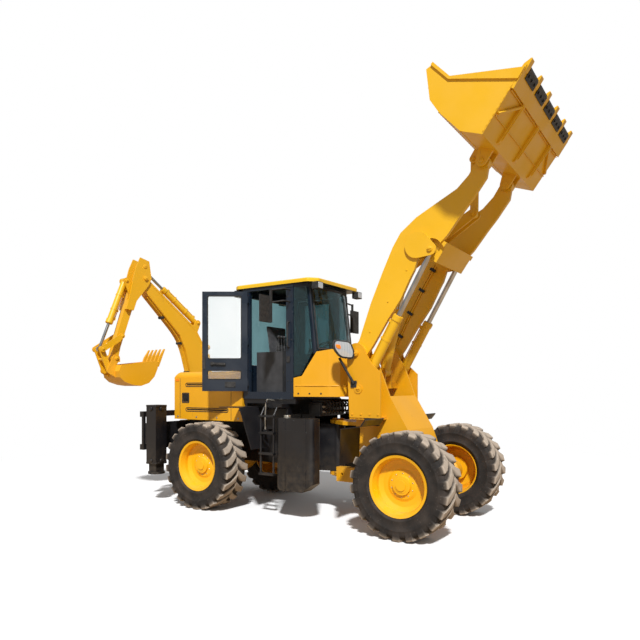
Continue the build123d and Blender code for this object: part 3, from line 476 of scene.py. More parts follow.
def pane_glass(name, thin, thick):
    """Tinted glass: two near tints in slow clouds, and a film of dust that dulls its gloss."""
    made = mottled(name, 0.03, 1.5, thin, thick, Transmission_Weight=0.92, IOR=1.45)
    made.feed(Roughness=made.spread(made.grain(4.0, 6.0, 0.4, 0.8), to=(0.01, 0.06)))
    return made


def ribbed_lens(name, roughness, scale, first, second, metallic=0.0):
    """A moulded lens with even ribs."""
    made = Surface(name, roughness, metallic)
    ribs = made.ribs(scale)
    made.colour(ribs, first, second)
    made.relief(ribs, 0.002, 0.6)
    return made


def tooth_or_edge():
    """Chipped yellow on the bucket's teeth and chipped black on the edges between them."""
    made = Surface("teeth_and_edges", 0.45)
    apart = made.part(made.place, "Y")
    for operation, value in (("ADD", TOOTH_REACH + TOOTH_PITCH / 2), ("MODULO", TOOTH_PITCH),
                             ("SUBTRACT", TOOTH_PITCH / 2), ("ABSOLUTE", 0.0),
                             ("GREATER_THAN", TOOTH_HALF)):
        apart = made.node("Math", apart, value, operation=operation).outputs[0]
    chips = made.grain(45.0, 6.0, 0.5, 0.7)
    made.colour(apart, made.between(chips, BRIGHT_YELLOW, (0.35, 0.18, 0.04)),
                made.between(chips, (0.012, 0.011, 0.012), (0.07, 0.06, 0.05)))
    made.relief(made.grain(90.0, 5.0), 0.001, 0.5)
    return made


def two_tone_roof():
    """Yellow topcoat with settled dust, and black on the faces that look down."""
    made = Surface("roof_paint_two_tone", 0.36, coat=0.3)
    topcoat = made.between(made.grain(2.0), (0.84, 0.52, 0.012), (0.80, 0.46, 0.010))
    dust = made.times(made.times(made.facing_up(), made.grain(5.0, 6.0)), 0.35)
    made.colour(made.facing_up(-0.3, -0.7), made.between(dust, topcoat, DRY_DUST),
                (0.014, 0.014, 0.016))
    made.relief(made.grain(240.0, 2.0), 0.0004, 0.3)
    return made


rubber = tyre_rubber()
rim_paint = paint("rim_paint_dusty", RIM_YELLOW, (0.30, 0.12, 0.01), 0.33, (0.45, 0.0))
body_paint = paint("body_paint_worn", BODY_YELLOW, (0.32, 0.13, 0.02))
arm_paint = paint("arm_paint_worn", BRIGHT_YELLOW, (0.36, 0.15, 0.02), splash=(0.4, 0.0))
bucket_paint = paint("bucket_paint_worn", BRIGHT_YELLOW, (0.30, 0.12, 0.025), splash=(0.1, -0.1))
hoe_paint = paint("hoe_paint_worn", HOE_YELLOW, BROWN_SCUFF, splash=(0.3, 0.0))
hoe_worn = paint("hoe_bucket_worn", (0.78, 0.38, 0.008), (0.10, 0.06, 0.04), 0.45, (0.3, 0.0))
black_iron = paint("black_iron_dusty", (0.007, 0.007, 0.009), (0.03, 0.027, 0.025), 0.36,
                   dirty=0.22)
engine_iron = paint("engine_iron_rough", (0.07, 0.07, 0.068), (0.12, 0.08, 0.05), 0.7)
navy = paint("navy_paint_satin", (0.008, 0.016, 0.030), (0.04, 0.05, 0.07), 0.30, (1.0, 0.3), 0.2)
roof_paint = two_tone_roof()
teeth_paint = tooth_or_edge()
dark_glass = pane_glass("tinted_glass_dark", (0.10, 0.20, 0.22), (0.16, 0.30, 0.32))
clear_glass = pane_glass("door_glass_clear", (0.90, 0.95, 0.95), (0.96, 0.99, 0.99))
clear_lens = ribbed_lens("lamp_lens_clear", 0.08, 22.0, (0.75, 0.78, 0.80), (0.55, 0.58, 0.60),
                         metallic=0.55)
amber = ribbed_lens("amber_lens", 0.15, 30.0, (0.85, 0.16, 0.01), (0.95, 0.30, 0.02))

zinc = Surface("zinc_bolts", 0.4, metallic=0.9)
rusty = zinc.times(zinc.grain(12.0, 8.0, 0.5, 0.7), 0.25)
zinc.colour(rusty, (0.55, 0.52, 0.45), (0.16, 0.07, 0.03))
zinc.feed(Roughness=zinc.spread(rusty, to=(0.4, 0.85)))
zinc.relief(zinc.grain(300.0, 4.0), 0.0004, 0.5)

chrome = Surface("chrome_polished", 0.12, metallic=1.0)
wiped = chrome.grain(20.0, 5.0, 0.4, 0.8, (1.0, 1.0, 0.15))
chrome.colour(wiped, (0.62, 0.62, 0.63), (0.42, 0.41, 0.39))
chrome.feed(Roughness=chrome.spread(wiped, to=(0.10, 0.32)))

silver = mottled("mirror_silver", 0.02, 3.0, (0.55, 0.60, 0.66), (0.65, 0.70, 0.75), metallic=1.0)

seal_rubber = mottled("seal_rubber_matt", 0.7, 30.0, (0.012, 0.012, 0.013), (0.035, 0.034, 0.033))
seal_rubber.relief(seal_rubber.grain(200.0, 3.0), 0.0005, 0.5)

console = mottled("console_plastic", 0.55, 8.0, (0.030, 0.031, 0.034), (0.045, 0.046, 0.050))
pebbles = console.node("TexVoronoi", console.place, Scale=420.0)
console.relief(pebbles.outputs["Distance"], 0.0004, 0.5)

fabric = Surface("seat_fabric_woven", 0.85, Sheen_Weight=0.3)
threads = fabric.times(fabric.ribs(160.0, "X"), fabric.ribs(160.0, "Y"))
fabric.colour(fabric.times(fabric.grain(6.0, 5.0), threads), (0.018, 0.018, 0.021),
              (0.065, 0.065, 0.072))
fabric.relief(threads, 0.0008, 0.8)

# the body, slot and finish that many small pieces share
REAR_TRIM = ("rear_frame", "black_plastic", seal_rubber)
REAR_STEEL = ("rear_frame", "worn_steel", zinc)
REAR_BLACK = ("rear_frame", "black_paint", black_iron)
FRONT_TRIM = ("front_frame", "black_plastic", seal_rubber)
TOWER_TRIM = ("front_frame", "yellow_paint", body_paint)
ARM_TRIM = ("loader_arm", "bright_yellow_paint", arm_paint)
BUCKET_TRIM = ("loader_bucket", "bright_yellow_paint", bucket_paint)
BOOM_TRIM = ("hoe_boom", "yellow_paint", hoe_paint)

# ---------------- tyres
# Four wide moulded tyres with chevron lugs that meet on the middle line. Sidewalls are dark and
# smooth with two raised rings; the tread carries pale road dust. Outlines are (radius, width).
AXLE_X, WHEEL_R, WHEEL_Y = 1.5, 0.590, 0.800
WHEELS = [(end, side, x, hand) for end, x in (("front", AXLE_X), ("rear", -AXLE_X))
          for side, hand in SIDES]
SIDEWALL = ((0.322, 0.165), (0.345, 0.180), (0.362, 0.199), (0.372, 0.2005), (0.380, 0.196),
            (0.430, 0.203), (0.462, 0.2045), (0.468, 0.2075), (0.476, 0.2075))
BARE = np.array(SIDEWALL + ((0.482, 0.2045), (0.500, 0.2035), (0.518, 0.201), (0.533, 0.196),
                            (0.545, 0.187), (0.553, 0.176), (0.556, 0.164)))
MOULDED = np.array(SIDEWALL + ((0.482, 0.2055), (0.505, 0.2065), (0.530, 0.2065), (0.560, 0.2055),
                               (0.578, 0.2030), (0.5840, 0.196), (0.5848, 0.186)))
CROWN_R, LUG_TOP, LUG_TOP_HALF = 0.556, 0.5848, 0.184
LUGS, LUG_STEPS, CROWN_ROWS = 22, 26, 26
PITCH, TREAD_R = 2 * np.pi / LUGS, 0.573
LUG_MIDDLE = ((0.0, 0.050), (0.006, 0.056), (0.115, -0.027), (0.203, -0.056))
LUG_HALF = ((0.0, 0.047), (0.115, 0.050), (0.203, 0.044))
LUG_FOOT, LUG_SLOPE, LUG_MEET = 0.004, 0.009, 0.008  # its foot past its half, its flank, its end
DUST_FROM, DUST_OVER = 0.555, 0.025


def lug_cover(a, w):
    """1 on a lug and 0 beside it; a lug slants back from the tyre's middle line to its edge."""
    cover = np.zeros(np.broadcast(a, w).shape)
    for flank in HANDS:
        across = flank * w
        middle = np.interp(across, *np.transpose(LUG_MIDDLE))
        along = (a - PITCH * 0.25 * flank + PITCH / 2) % PITCH - PITCH / 2
        # wrapped distance along the tread from the lug's middle line
        step = PITCH * TREAD_R
        off = np.abs((along * TREAD_R - middle + step / 2) % step - step / 2)
        half = np.interp(across, *np.transpose(LUG_HALF))
        here = np.clip((half + LUG_FOOT - off) / LUG_SLOPE, 0, 1)
        cover = np.maximum(cover, here * np.clip((across + LUG_FOOT) / LUG_MEET, 0, 1))
    return cover * cover * (3 - 2 * cover)


def across_tyre(side, radius, widths):
    """A whole section: one side, the crown at its radius, and the other side back again."""
    crown = np.stack([np.full(CROWN_ROWS, radius), widths], -1)
    return np.concatenate([side, crown, side[::-1] * (1, -1)])


bare_line = across_tyre(BARE, CROWN_R, np.linspace(BARE[-1, 1], -BARE[-1, 1], CROWN_ROWS + 2)[1:-1])
lug_line = across_tyre(MOULDED, LUG_TOP, np.linspace(LUG_TOP_HALF, -LUG_TOP_HALF, CROWN_ROWS))
around = np.linspace(0, 2 * np.pi, LUGS * LUG_STEPS, endpoint=False)
cover = lug_cover(around[None, :], lug_line[:, 1][:, None])[..., None]
radii, widths = np.moveaxis(bare_line[:, None] * (1 - cover) + lug_line[:, None] * cover, -1, 0)
for end, side, x, hand in WHEELS:
    points = flat(x + radii * np.cos(around), WHEEL_R + radii * np.sin(around),
                  hand * WHEEL_Y + widths)
    tyre = piece(f"moulded_tyre_{end}_{side}", [grid(points, ring_rows=True, ring_cols=True)],
                 f"wheel_{end}_{side}", "tyre_rubber", rubber, sharp=60)
    places = spots_of(tyre.data)
    reach = np.hypot(places[:, 0] - x, places[:, 2] - WHEEL_R)
    mark = tyre.data.attributes.new("tread", "FLOAT", "POINT")
    mark.data.foreach_set("value", np.clip((reach - DUST_FROM) / DUST_OVER, 0, 1))
    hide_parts(f"tyre_{end}_{side}")

# ---------------- rims
# Deep pressed-steel rims, sprayed in one coat, with a planetary hub cap held by a ring of bolts
# and ten wheel nuts on studs around it.
HUB_NUTS, NUT_RING, NUT_FACE = 10, 0.131, 0.033
CAP_BOLTS, CAP_RING, CAP_FACE, CAP_TURN = 8, 0.092, 0.0665, 0.2
STUD = ((0.007, 0), (0.007, 0.030), (0.004, 0.033), (0, 0.033))
VALVE = ((0.006, -0.02), (0.006, 0.03), (0.004, 0.045), (0, 0.045))
for end, side, x, hand in WHEELS:
    body, axis = f"wheel_{end}_{side}", (0, hand, 0)
    hub = np.array((x, hand * WHEEL_Y, WHEEL_R))
    nuts = ring_of(hub + (0, hand * NUT_FACE, 0), NUT_RING, HUB_NUTS, axis)
    heads = ring_of(hub + (0, hand * CAP_FACE, 0), CAP_RING, CAP_BOLTS, axis, CAP_TURN)
    studs = [turned(STUD, at, axis, 10) for at in nuts]
    valve = turned(VALVE, hub + (0.24, hand * 0.045, 0.06), axis, 10)
    piece(f"wheel_nuts_{end}_{side}", [bolts(nuts, axis, 0.014, 0.018), *studs], body,
          "worn_steel", zinc)
    piece(f"hub_bolts_{end}_{side}", [bolts(heads, axis, 0.008, 0.007), valve], body,
          "rim_paint", rim_paint)
    dress(rim_paint, f"rim_{end}_{side}", edge=0.003)

# ---------------- axles and front frame
# Welded plate tower on a cast axle, all sprayed yellow. Pins are held by bolted keeper plates,
# and the tower's two plates are joined by welds that stand a little proud.
dress(body_paint, "front_frame", "front_axle", "rear_axle", edge=0.003)
dress(black_iron, "front_mudguards", edge=0.003)
TOWER_PIN, LIFT_FOOT, TILT_FOOT = (0.730, 2.065), (0.765, 1.637), (0.847, 1.844)
TOWER_FACE = 0.5345
HITCH_X, HITCH_FACES = 0.150, ((1.2225, 1, "upper"), (0.4975, -1, "lower"))
tower = []
for hand in HANDS:
    tower += keeper((TOWER_PIN[0], hand * 0.557, TOWER_PIN[1]), hand, 0.036)
    tower += keeper((LIFT_FOOT[0], hand * 0.5445, LIFT_FOOT[1]), hand, 0.028)
    tower.append(bolts([(x, hand * TOWER_FACE, 1.33) for x in (0.68, 0.80, 0.92, 1.03)],
                       (0, hand, 0), 0.011, 0.009))
    tower += [weld([(rear, hand * y, z), (front, hand * y, z)]) for rear, front, y, z in
              ((0.640, 1.060, TOWER_FACE, 1.272), (0.655, 1.055, 0.371, 1.296),
               (0.652, 1.055, 0.509, 1.296))]
piece("tower_fastenings", tower, *TOWER_TRIM)
for z, up, name in HITCH_FACES:
    axis = (0, 0, up)
    cap = disc(0.085, 0.012, 0.078, 0.016, (HITCH_X, 0, z), axis, 40)
    heads = bolts(ring_of((HITCH_X, 0, z + up * 0.016), 0.062, 6, UP), axis, 0.009, 0.008)
    piece(f"articulation_cap_{name}", [cap, heads], *TOWER_TRIM, 0.0015)

# ---------------- loader arm
# Two profiled arms tied by a cross beam, bright yellow. Keeper plates hold the pins, and two
# steel lines run along each inner face in black clips.
on_arm = leaning(TOWER_PIN, math.radians(55))
dress(arm_paint, "loader_arm", "bellcrank", "tilt_link", edge=0.003)
LIFT_EYE, BUCKET_EYE, BELL_EYE = (1.476, -0.108), (2.520, -0.103), (1.550, 0.100)
TILT_EYE, LINK_EYE = (1.130, 0.260), (2.040, -0.130)
ARM_IN, ARM_OUT = 0.415, 0.465
EYE_WELD = ((1.345, 0.17), (1.43, 0.215), (1.53, 0.175), (1.585, 0.09), (1.555, -0.06))
LINE_ROUTE = ((0.16, -0.02), (0.45, 0.03), (0.80, 0.07), (1.10, 0.09), (1.34, 0.10))
arm_trim, lines, clips = [], [], []
for hand in HANDS:
    arm_trim += keeper(on_arm(*BUCKET_EYE, hand * 0.491), hand, 0.028)
    arm_trim += keeper(on_arm(*LIFT_EYE, hand * 0.506), hand, 0.028)
    arm_trim.append(weld(traced(on_arm, EYE_WELD, hand * (ARM_OUT + 0.001)), 0.006))
    arm_trim.append(bolts([on_arm(u, 0.02, hand * ARM_OUT) for u in (0.30, 0.72, 1.14)],
                          (0, hand, 0), 0.009, 0.008))
    lines += [traced(on_arm, np.add(LINE_ROUTE, (0, lift)), hand * (ARM_IN - 0.014))
              for lift in (0.030, 0.058)]
    clips += [slab(on_arm, (u - 0.018, u + 0.018), (v - 0.042, v + 0.042),
                   proud(hand, ARM_IN, 0.001, -0.026), 0.008)
              for u, v in ((0.30, 0.045), (0.62, 0.093), (0.95, 0.122), (1.24, 0.138))]
piece("arm_fastenings", arm_trim, *ARM_TRIM)
pipe("arm_steel_lines", lines, 0.008, *ARM_TRIM)
piece("line_clips", clips, "loader_arm", "black_plastic", black_iron, 0.002)
piece("bellcrank_fastenings", [part for hand in HANDS for pin in (TILT_EYE, LINK_EYE)
                               for part in keeper(on_arm(*pin, hand * 0.075), hand, 0.026)],
      "bellcrank", "bright_yellow_paint", arm_paint)
piece("bellcrank_pin_caps", [part for hand in HANDS
                             for part in keeper(on_arm(*BELL_EYE, hand * 0.105), hand, 0.026)],
      *ARM_TRIM)

# ---------------- hydraulic cylinders
# Yellow barrels with a threaded gland, polished rods, and short steel feed lines that are
# clamped along each barrel.
dress(arm_paint, "lift_barrels", "tilt_barrel", "boom_barrel", "dipper_barrel", "bucket_barrel",
      edge=0.002)
dress(chrome, "lift_rods", "tilt_rod", "boom_rod", "dipper_rod", "bucket_rod")


def cylinder_trim(name, body, lay, base, pin, w, length, radius, turn=1.0):
    """A barrel's feed line, its two banjo blocks, its clamps and the ring of bolts in its gland."""
    ahead = np.subtract(pin, base) / np.linalg.norm(np.subtract(pin, base))

    def on_barrel(along, off, w):
        """Along the barrel from its base pin, and off its middle line towards its feed line."""
        return lay(base[0] + ahead[0] * along - turn * ahead[1] * off,
                   base[1] + ahead[1] * along + turn * ahead[0] * off, w)

    off, front = radius + 0.014, length - 0.09
    route = ((0.10, radius - 0.004), (0.10, off), (0.14, off), (0.40 * length, off),
             (front - 0.04, off), (front, off), (front, radius + 0.002))
    pipe(f"{name}_line", [traced(on_barrel, route, w)], 0.007, body, "bright_yellow_paint",
         arm_paint)
    axis = on_barrel(1.0, 0.0, w) - on_barrel(0.0, 0.0, w)
    parts = [slab(on_barrel, (s - 0.02, s + 0.02), (radius - 0.006, radius + 0.024),
                  (w - 0.016, w + 0.016), 0.006) for s in (0.10, front)]
    for s in (0.34 * length, 0.68 * length):
        parts.append(turned(((radius - 0.001, -0.012), (radius + 0.004, -0.012),
                             (radius + 0.004, 0.012), (radius - 0.001, 0.012)),
                            on_barrel(s, 0.0, w), axis))
        parts.append(slab(on_barrel, (s - 0.012, s + 0.012), (radius, off + 0.012),
                          (w - 0.014, w + 0.014), 0.004))
    mouth = on_barrel(length, 0.0, w)
    parts.append(turned(((0.66 * radius, -0.004), (0.66 * radius, 0.006), (radius + 0.002, 0.006),
                         (radius + 0.004, 0.0), (radius + 0.004, -0.004)), mouth, axis))
    parts.append(bolts(ring_of(mouth + axis * 0.006, 0.86 * radius, 8, axis), axis, 0.0055, 0.006))
    piece(f"{name}_trim", parts, body, "bright_yellow_paint", arm_paint)


lift_eye, tilt_eye = on_arm(*LIFT_EYE, 0)[[0, 2]], on_arm(*TILT_EYE, 0)[[0, 2]]
for side, hand in SIDES:
    cylinder_trim(f"lift_cylinder_{side}", "lift_barrels", flat, LIFT_FOOT, lift_eye,
                  hand * 0.440, 0.980, 0.055)
cylinder_trim("tilt_cylinder", "tilt_barrel", flat, TILT_FOOT, tilt_eye, 0.0, 0.800, 0.060)

# ---------------- loader bucket
# Welded plate bucket: ribs under the floor, seams where plates meet, six cast teeth and black
# bolt-on edges between them. Its plane starts at the heel, with u along the floor to the lip.
BUCKET_LEAN = math.radians(52)
HINGE = (-0.155, 0.091)
bucket_pin = on_arm(*BUCKET_EYE, 0)
HEEL = bucket_pin[[0, 2]] - leaning((0, 0), BUCKET_LEAN)(*HINGE, 0)[[0, 2]]
in_bucket = leaning(HEEL, BUCKET_LEAN)


def along_floor(u, v, w):
    """The bucket's floor seen from above: u towards the lip, v to the left, w above the floor."""
    return in_bucket(u, w, v)


dress(bucket_paint, "loader_bucket", edge=0.003)
dress(teeth_paint, "bucket_teeth", edge=0.003)
rib = eased([(0.05, -0.001), (0.49, 0.014), (0.47, -0.030), (0.10, -0.034)], 0.02)
ribs = [extruded(rib, in_bucket, y - 0.008, y + 0.008) for y in (-0.600, 0.0, 0.600)]
ribs += [extruded([(0.22, hand * 0.960), (0.24, hand * 0.976), (0.452, hand * 0.620),
                   (0.432, hand * 0.604)], along_floor, -0.020, 0.008) for hand in HANDS]
seams = [weld([in_bucket(u, v, -half), in_bucket(u, v, half)], count=260)
         for u, v, half in ((0.455, 0.001, 0.990), (0.20, -0.004, 0.990), (-0.072, 0.232, 0.995),
                            (-0.016, 0.563, 0.995), (0.136, 0.823, 0.995))]
for hand in HANDS:
    seams.append(weld(traced(in_bucket, ((0.02, 0.012), (0.30, 0.018), (0.55, 0.022)),
                             hand * 1.000)))
    seams.append(weld(traced(in_bucket, ((0.555, 0.012), (0.285, 0.660), (0.329, 0.930)),
                             hand * 1.002)))
    seams += keeper(in_bucket(*HINGE, hand * 0.536), hand, 0.030)
for hand in HANDS:
    seams += keeper(in_bucket(-0.130, 0.420, hand * 0.066), hand, 0.022)
piece("bucket_ribs", ribs, *BUCKET_TRIM, 0.002)
piece("bucket_welds", seams, *BUCKET_TRIM)

TOOTH = eased([(0.648, 0.050), (0.700, 0.052), (0.774, 0.016), (0.774, 0.002), (0.700, -0.004),
               (0.648, -0.004)], 0.012)
tooth_ys = -TOOTH_REACH + TOOTH_PITCH * np.arange(6)
piece("tooth_caps", [extruded(TOOTH, in_bucket, y - 0.039, y + 0.039) for y in tooth_ys],
      *BUCKET_TRIM, 0.004)
edge_spots = [in_bucket(0.655, -0.012, y - TOOTH_PITCH / 2 + shift) for y in tooth_ys[1:]
              for shift in (-0.10, 0.0, 0.10)]
piece("edge_bolts", [bolts(edge_spots, in_bucket(0, -1, 0) - in_bucket(0, 0, 0), 0.013, 0.011)],
      "loader_bucket", "black_plastic", black_iron)

# ---------------- rear chassis and engine
# Black plate chassis with the engine low between its rails. The valve bank stands ahead of the
# cab floor, inside the space that the turning frame leaves.
dress(black_iron, "rear_chassis", edge=0.003)
dress(engine_iron, "engine_block", edge=0.004)
VALVE_YS, PORT_ZS = np.linspace(-0.26, 0.26, 8), (1.400, 1.335)
FITTING = ((0, 0), (0.018, 0), (0.018, 0.022), (0.013, 0.026), (0.013, 0.045), (0, 0.045))
bank = [slab(plan, (-0.130, 0.060), (-0.300, 0.300), (1.275, 1.430), 0.02)]
bank += [slab(plan, (-0.118, 0.075), (y - 0.026, y + 0.026), (1.300, 1.452), 0.008)
         for y in VALVE_YS]
piece("valve_bank", bank, *REAR_BLACK, 0.003)
piece("valve_fittings", [turned(FITTING, (0.076, y, z), AHEAD, 12) for y in VALVE_YS
                         for z in PORT_ZS], *REAR_STEEL)
pipe("valve_steel_lines", [[(0.115, y, z), (0.170, y, z), (0.200, y * 1.02, z + 0.02),
                            (0.190, y * 1.05, z + 0.085), (0.120, y * 1.06, 1.480),
                            (-0.08, y * 1.06, 1.490)] for y in VALVE_YS for z in PORT_ZS[::-1]],
     0.010, *REAR_BLACK)

# ---------------- cab frame and roof
# Navy pressed-steel posts under a bright yellow roof with a black underside; bolts and a latch
# on each door pillar, a grab rail on the right one and a gutter above each door.
dress(navy, "cab_frame", edge=0.004)
dress(roof_paint, "cab_roof")
CAB_SIDE = 0.575
GRAB_RAIL = ((-0.575, 2.17), (-0.615, 2.17), (-0.617, 2.22), (-0.617, 2.45), (-0.615, 2.50),
             (-0.575, 2.50))
cab_trim = []
for hand in HANDS:
    cab_trim += [bolts([(x, hand * CAB_SIDE, z) for x in (-0.26, -0.205)], (0, hand, 0), 0.007,
                       0.007) for z in (1.74, 2.27, 2.83)]
    cab_trim.append(slab(flat, (-0.275, -0.225), (1.98, 2.06), proud(hand, CAB_SIDE, 0, 0.012),
                         0.010))
    cab_trim.append(bolts([(-0.25, hand * (CAB_SIDE + 0.012), z) for z in (1.995, 2.045)],
                          (0, hand, 0), 0.006, 0.006))
piece("pillar_fastenings", cab_trim, *REAR_TRIM, 0.001)
pipe("cab_grab_rail", [[(-0.240, y, z) for y, z in GRAB_RAIL]], 0.011, *REAR_TRIM)
piece("roof_gutters", [slab(flat, (-1.02, -0.18), (2.948, 2.968),
                            proud(hand, CAB_SIDE, 0.001, 0.009), 0.006) for hand in HANDS],
      "rear_frame", "navy_paint", navy, 0.002)

# ---------------- cab glass
# Blue-green tinted panes, and clear glass in the open door. The bowed windscreen has a black
# rubber seal and a wiper.
dress(dark_glass, "cab_glass", "door_glass_left")
dress(clear_glass, "door_glass_right")
SCREEN_FOOT, SCREEN_HEAD, SCREEN_HALF = 2.132, 2.948, 0.425
SEAL_LOW, SEAL_HIGH, SEAL_HALF = 2.150, 2.935, 0.415


def bow(z, w, raised):
    """A point over the windscreen's outer face, which leans back as it rises and is bowed by w."""
    rise = (z - SCREEN_FOOT) / (SCREEN_HEAD - SCREEN_FOOT)
    middle, edge = 0.232 - 0.112 * rise, 0.100 - 0.100 * rise
    return middle + (edge - middle) * (w / SCREEN_HALF) ** 2 + raised, w, z


seals = [[bow(z, w, 0.003) for w in np.linspace(-SEAL_HALF, SEAL_HALF, 13)]
         for z in (SEAL_LOW, SEAL_HIGH)]
seals += [[bow(z, w, 0.003) for z in np.linspace(SEAL_LOW, SEAL_HIGH, 5)]
          for w in (-SEAL_HALF, SEAL_HALF)]
pipe("windscreen_seal", seals, 0.011, *REAR_TRIM)
pipe("wiper_arm", [[bow(2.165, 0.05, 0.020), bow(2.30, 0.10, 0.032), bow(2.52, 0.17, 0.026),
                    bow(2.62, 0.20, 0.018)]], 0.006, *REAR_TRIM)
pipe("wiper_blade", [[bow(2.36, 0.205, 0.010), bow(2.62, 0.200, 0.013), bow(2.86, 0.190, 0.010)]],
     0.007, *REAR_TRIM)

# ---------------- cowl
# One moulded yellow cover below the windscreen, with a pressed crease along its side and black
# bolts at its foot.
dress(body_paint, "cowl", edge=0.006)
CREASE = ((-0.150, 0.573), (-0.060, 0.5645), (0.120, 0.519), (0.300, 0.4705), (0.425, 0.4105),
          (0.495, 0.330))
COWL_FEET = ((-0.10, 0.568), (0.05, 0.535), (0.20, 0.496))
pipe("cowl_creases", [[(x, hand * y, 1.675) for x, y in CREASE] for hand in HANDS], 0.007,
     "rear_frame", "yellow_paint", body_paint)
piece("cowl_bolts", [bolts([(x, hand * y, 1.575) for x, y in COWL_FEET], (0.27, hand * 0.96, 0),
                           0.008, 0.007) for hand in HANDS], *REAR_TRIM)

# ---------------- headlights
# Black teardrop housings on bent stalks, each with a clear lens and an amber indicator. A ring
# is the lens outline at one size, set back from its face and shifted inward.
LENS_SHAPE = eased([(-0.125, 0.115), (0.070, 0.095), (0.118, -0.030), (0.105, -0.105),
                    (-0.050, -0.085), (-0.130, 0.020)], 0.045)
LENS_AT, LENS_TURN, LAMP_FOOT = (0.640, 0.652, 2.105), math.radians(48), 0.545
SHELL_RINGS = ((0.98, -0.004, 0.0), (1.09, 0.000, 0.0), (1.11, 0.030, 0.0), (1.05, 0.075, 0.0),
               (0.86, 0.115, -0.01), (0.50, 0.140, -0.02), (0.02, 0.146, -0.02))
REFLECTOR_RINGS = ((0.98, -0.004, 0.0), (0.92, 0.012, 0.0), (0.02, 0.030, 0.0))
LENS_RINGS = ((0.93, -0.002, 0.0), (0.90, -0.012, 0.0), (0.45, -0.018, 0.0), (0.02, -0.020, 0.0))
INDICATOR_RINGS = ((0.26, -0.012, -0.075), (0.24, -0.024, -0.075), (0.01, -0.027, -0.075))
STALK = ((0.560, 0.640, 2.010), (0.580, 0.620, 1.960), (0.640, 0.580, 1.830),
         (0.695, 0.556, 1.735), (0.702, 0.548, 1.700))


def lamp_skin(hand, rings, lift=0.0):
    """One surface of a headlight through its rings, all moved up by lift."""
    across, high = LENS_SHAPE.T
    ahead = np.array((math.cos(LENS_TURN), hand * math.sin(LENS_TURN), 0.0))
    inward = np.array((math.sin(LENS_TURN), -hand * math.cos(LENS_TURN), 0.0))
    centre = np.array((LENS_AT[0], hand * LENS_AT[1], LENS_AT[2]))
    return grid(np.stack([centre - back * ahead + (across * size + shift)[:, None] * inward
                          + np.outer(high * size + lift, UP) for size, back, shift in rings]),
                ring_cols=True)


for side, hand in SIDES:
    housing = piece(f"headlight_housing_{side}",
                    [lamp_skin(hand, SHELL_RINGS), lamp_skin(hand, REFLECTOR_RINGS)],
                    *FRONT_TRIM, sharp=50)
    piece(f"headlight_lens_{side}", [lamp_skin(hand, LENS_RINGS)], "front_frame", "tinted_glass",
          clear_lens, sharp=50)
    piece(f"indicator_{side}", [lamp_skin(hand, INDICATOR_RINGS, 0.035)], "front_frame",
          "bright_yellow_paint", amber, sharp=50)
    pipe(f"headlight_stalk_{side}", [[(x, hand * y, z) for x, y, z in STALK]], 0.016, *FRONT_TRIM)
    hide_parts("headlights")
    foot = slab(flat, (0.660, 0.745), (1.650, 1.735), (hand * TOWER_FACE, hand * LAMP_FOOT), 0.012)
    heads = bolts([(x, hand * LAMP_FOOT, z) for x, z in ((0.682, 1.672), (0.722, 1.714))],
                  (0, hand, 0), 0.008, 0.007)
    piece(f"headlight_foot_{side}", [foot, heads], *FRONT_TRIM, 0.002)

# ---------------- doors
# Two framed navy doors with glass above and below a middle rail; each has rubber seals, a latch
# and a small bolted plate inside. The right one stands open.
dress(navy, "door_left", "door_right", edge=0.005)
DOOR_HINGE, DOOR_OPEN = (-0.914, 0.600), math.radians(146)
SKIN = 0.015  # from the door's middle to its inner and outer faces
for side, hand, turn in (("left", 1, 0.0), ("right", -1, -DOOR_OPEN)):
    on_door = standing((DOOR_HINGE[0], hand * DOOR_HINGE[1]), turn, hand)
    body = f"door_{side}"
    piece(f"door_seals_{side}", [bead(on_door, rectangle((0.090, 0.545), light, 0.02), w, 120)
                                 for light in ((1.764, 1.880), (2.042, 2.889))
                                 for w in (SKIN, -SKIN)], body, "black_plastic", seal_rubber)
    inward = on_door(0, 0, -1) - on_door(0, 0, 0)
    corners = ((0.183, 1.670), (0.292, 1.670), (0.183, 1.715), (0.292, 1.715))
    lever = eased([(0.300, 1.955), (0.500, 1.965), (0.500, 1.990), (0.300, 1.985)], 0.008)
    furniture = [
        slab(on_door, (0.570, 0.608), (1.900, 2.080), (-SKIN, -0.026), 0.006),  # latch strip
        slab(on_door, (0.165, 0.310), (1.655, 1.730), (-SKIN, -0.022), 0.012),  # bolted plate
        bolts(traced(on_door, corners, -0.022), inward, 0.007, 0.006),
        extruded(lever, on_door, -0.022, -0.042),
        disc(0.026, 0.020, 0.020, 0.028, on_door(0.480, 1.976, -SKIN), inward),
        slab(on_door, (0.520, 0.600), (1.920, 2.030), (SKIN, 0.030), 0.02),  # outer lock
        slab(on_door, (0.440, 0.560), (1.965, 1.988), (0.034, 0.050), 0.008),  # its grip
        slab(on_door, (0.535, 0.565), (1.960, 1.992), (0.026, 0.050), 0.006),  # and its post
    ]
    piece(f"door_furniture_{side}", furniture, body, "black_plastic", seal_rubber, 0.002)

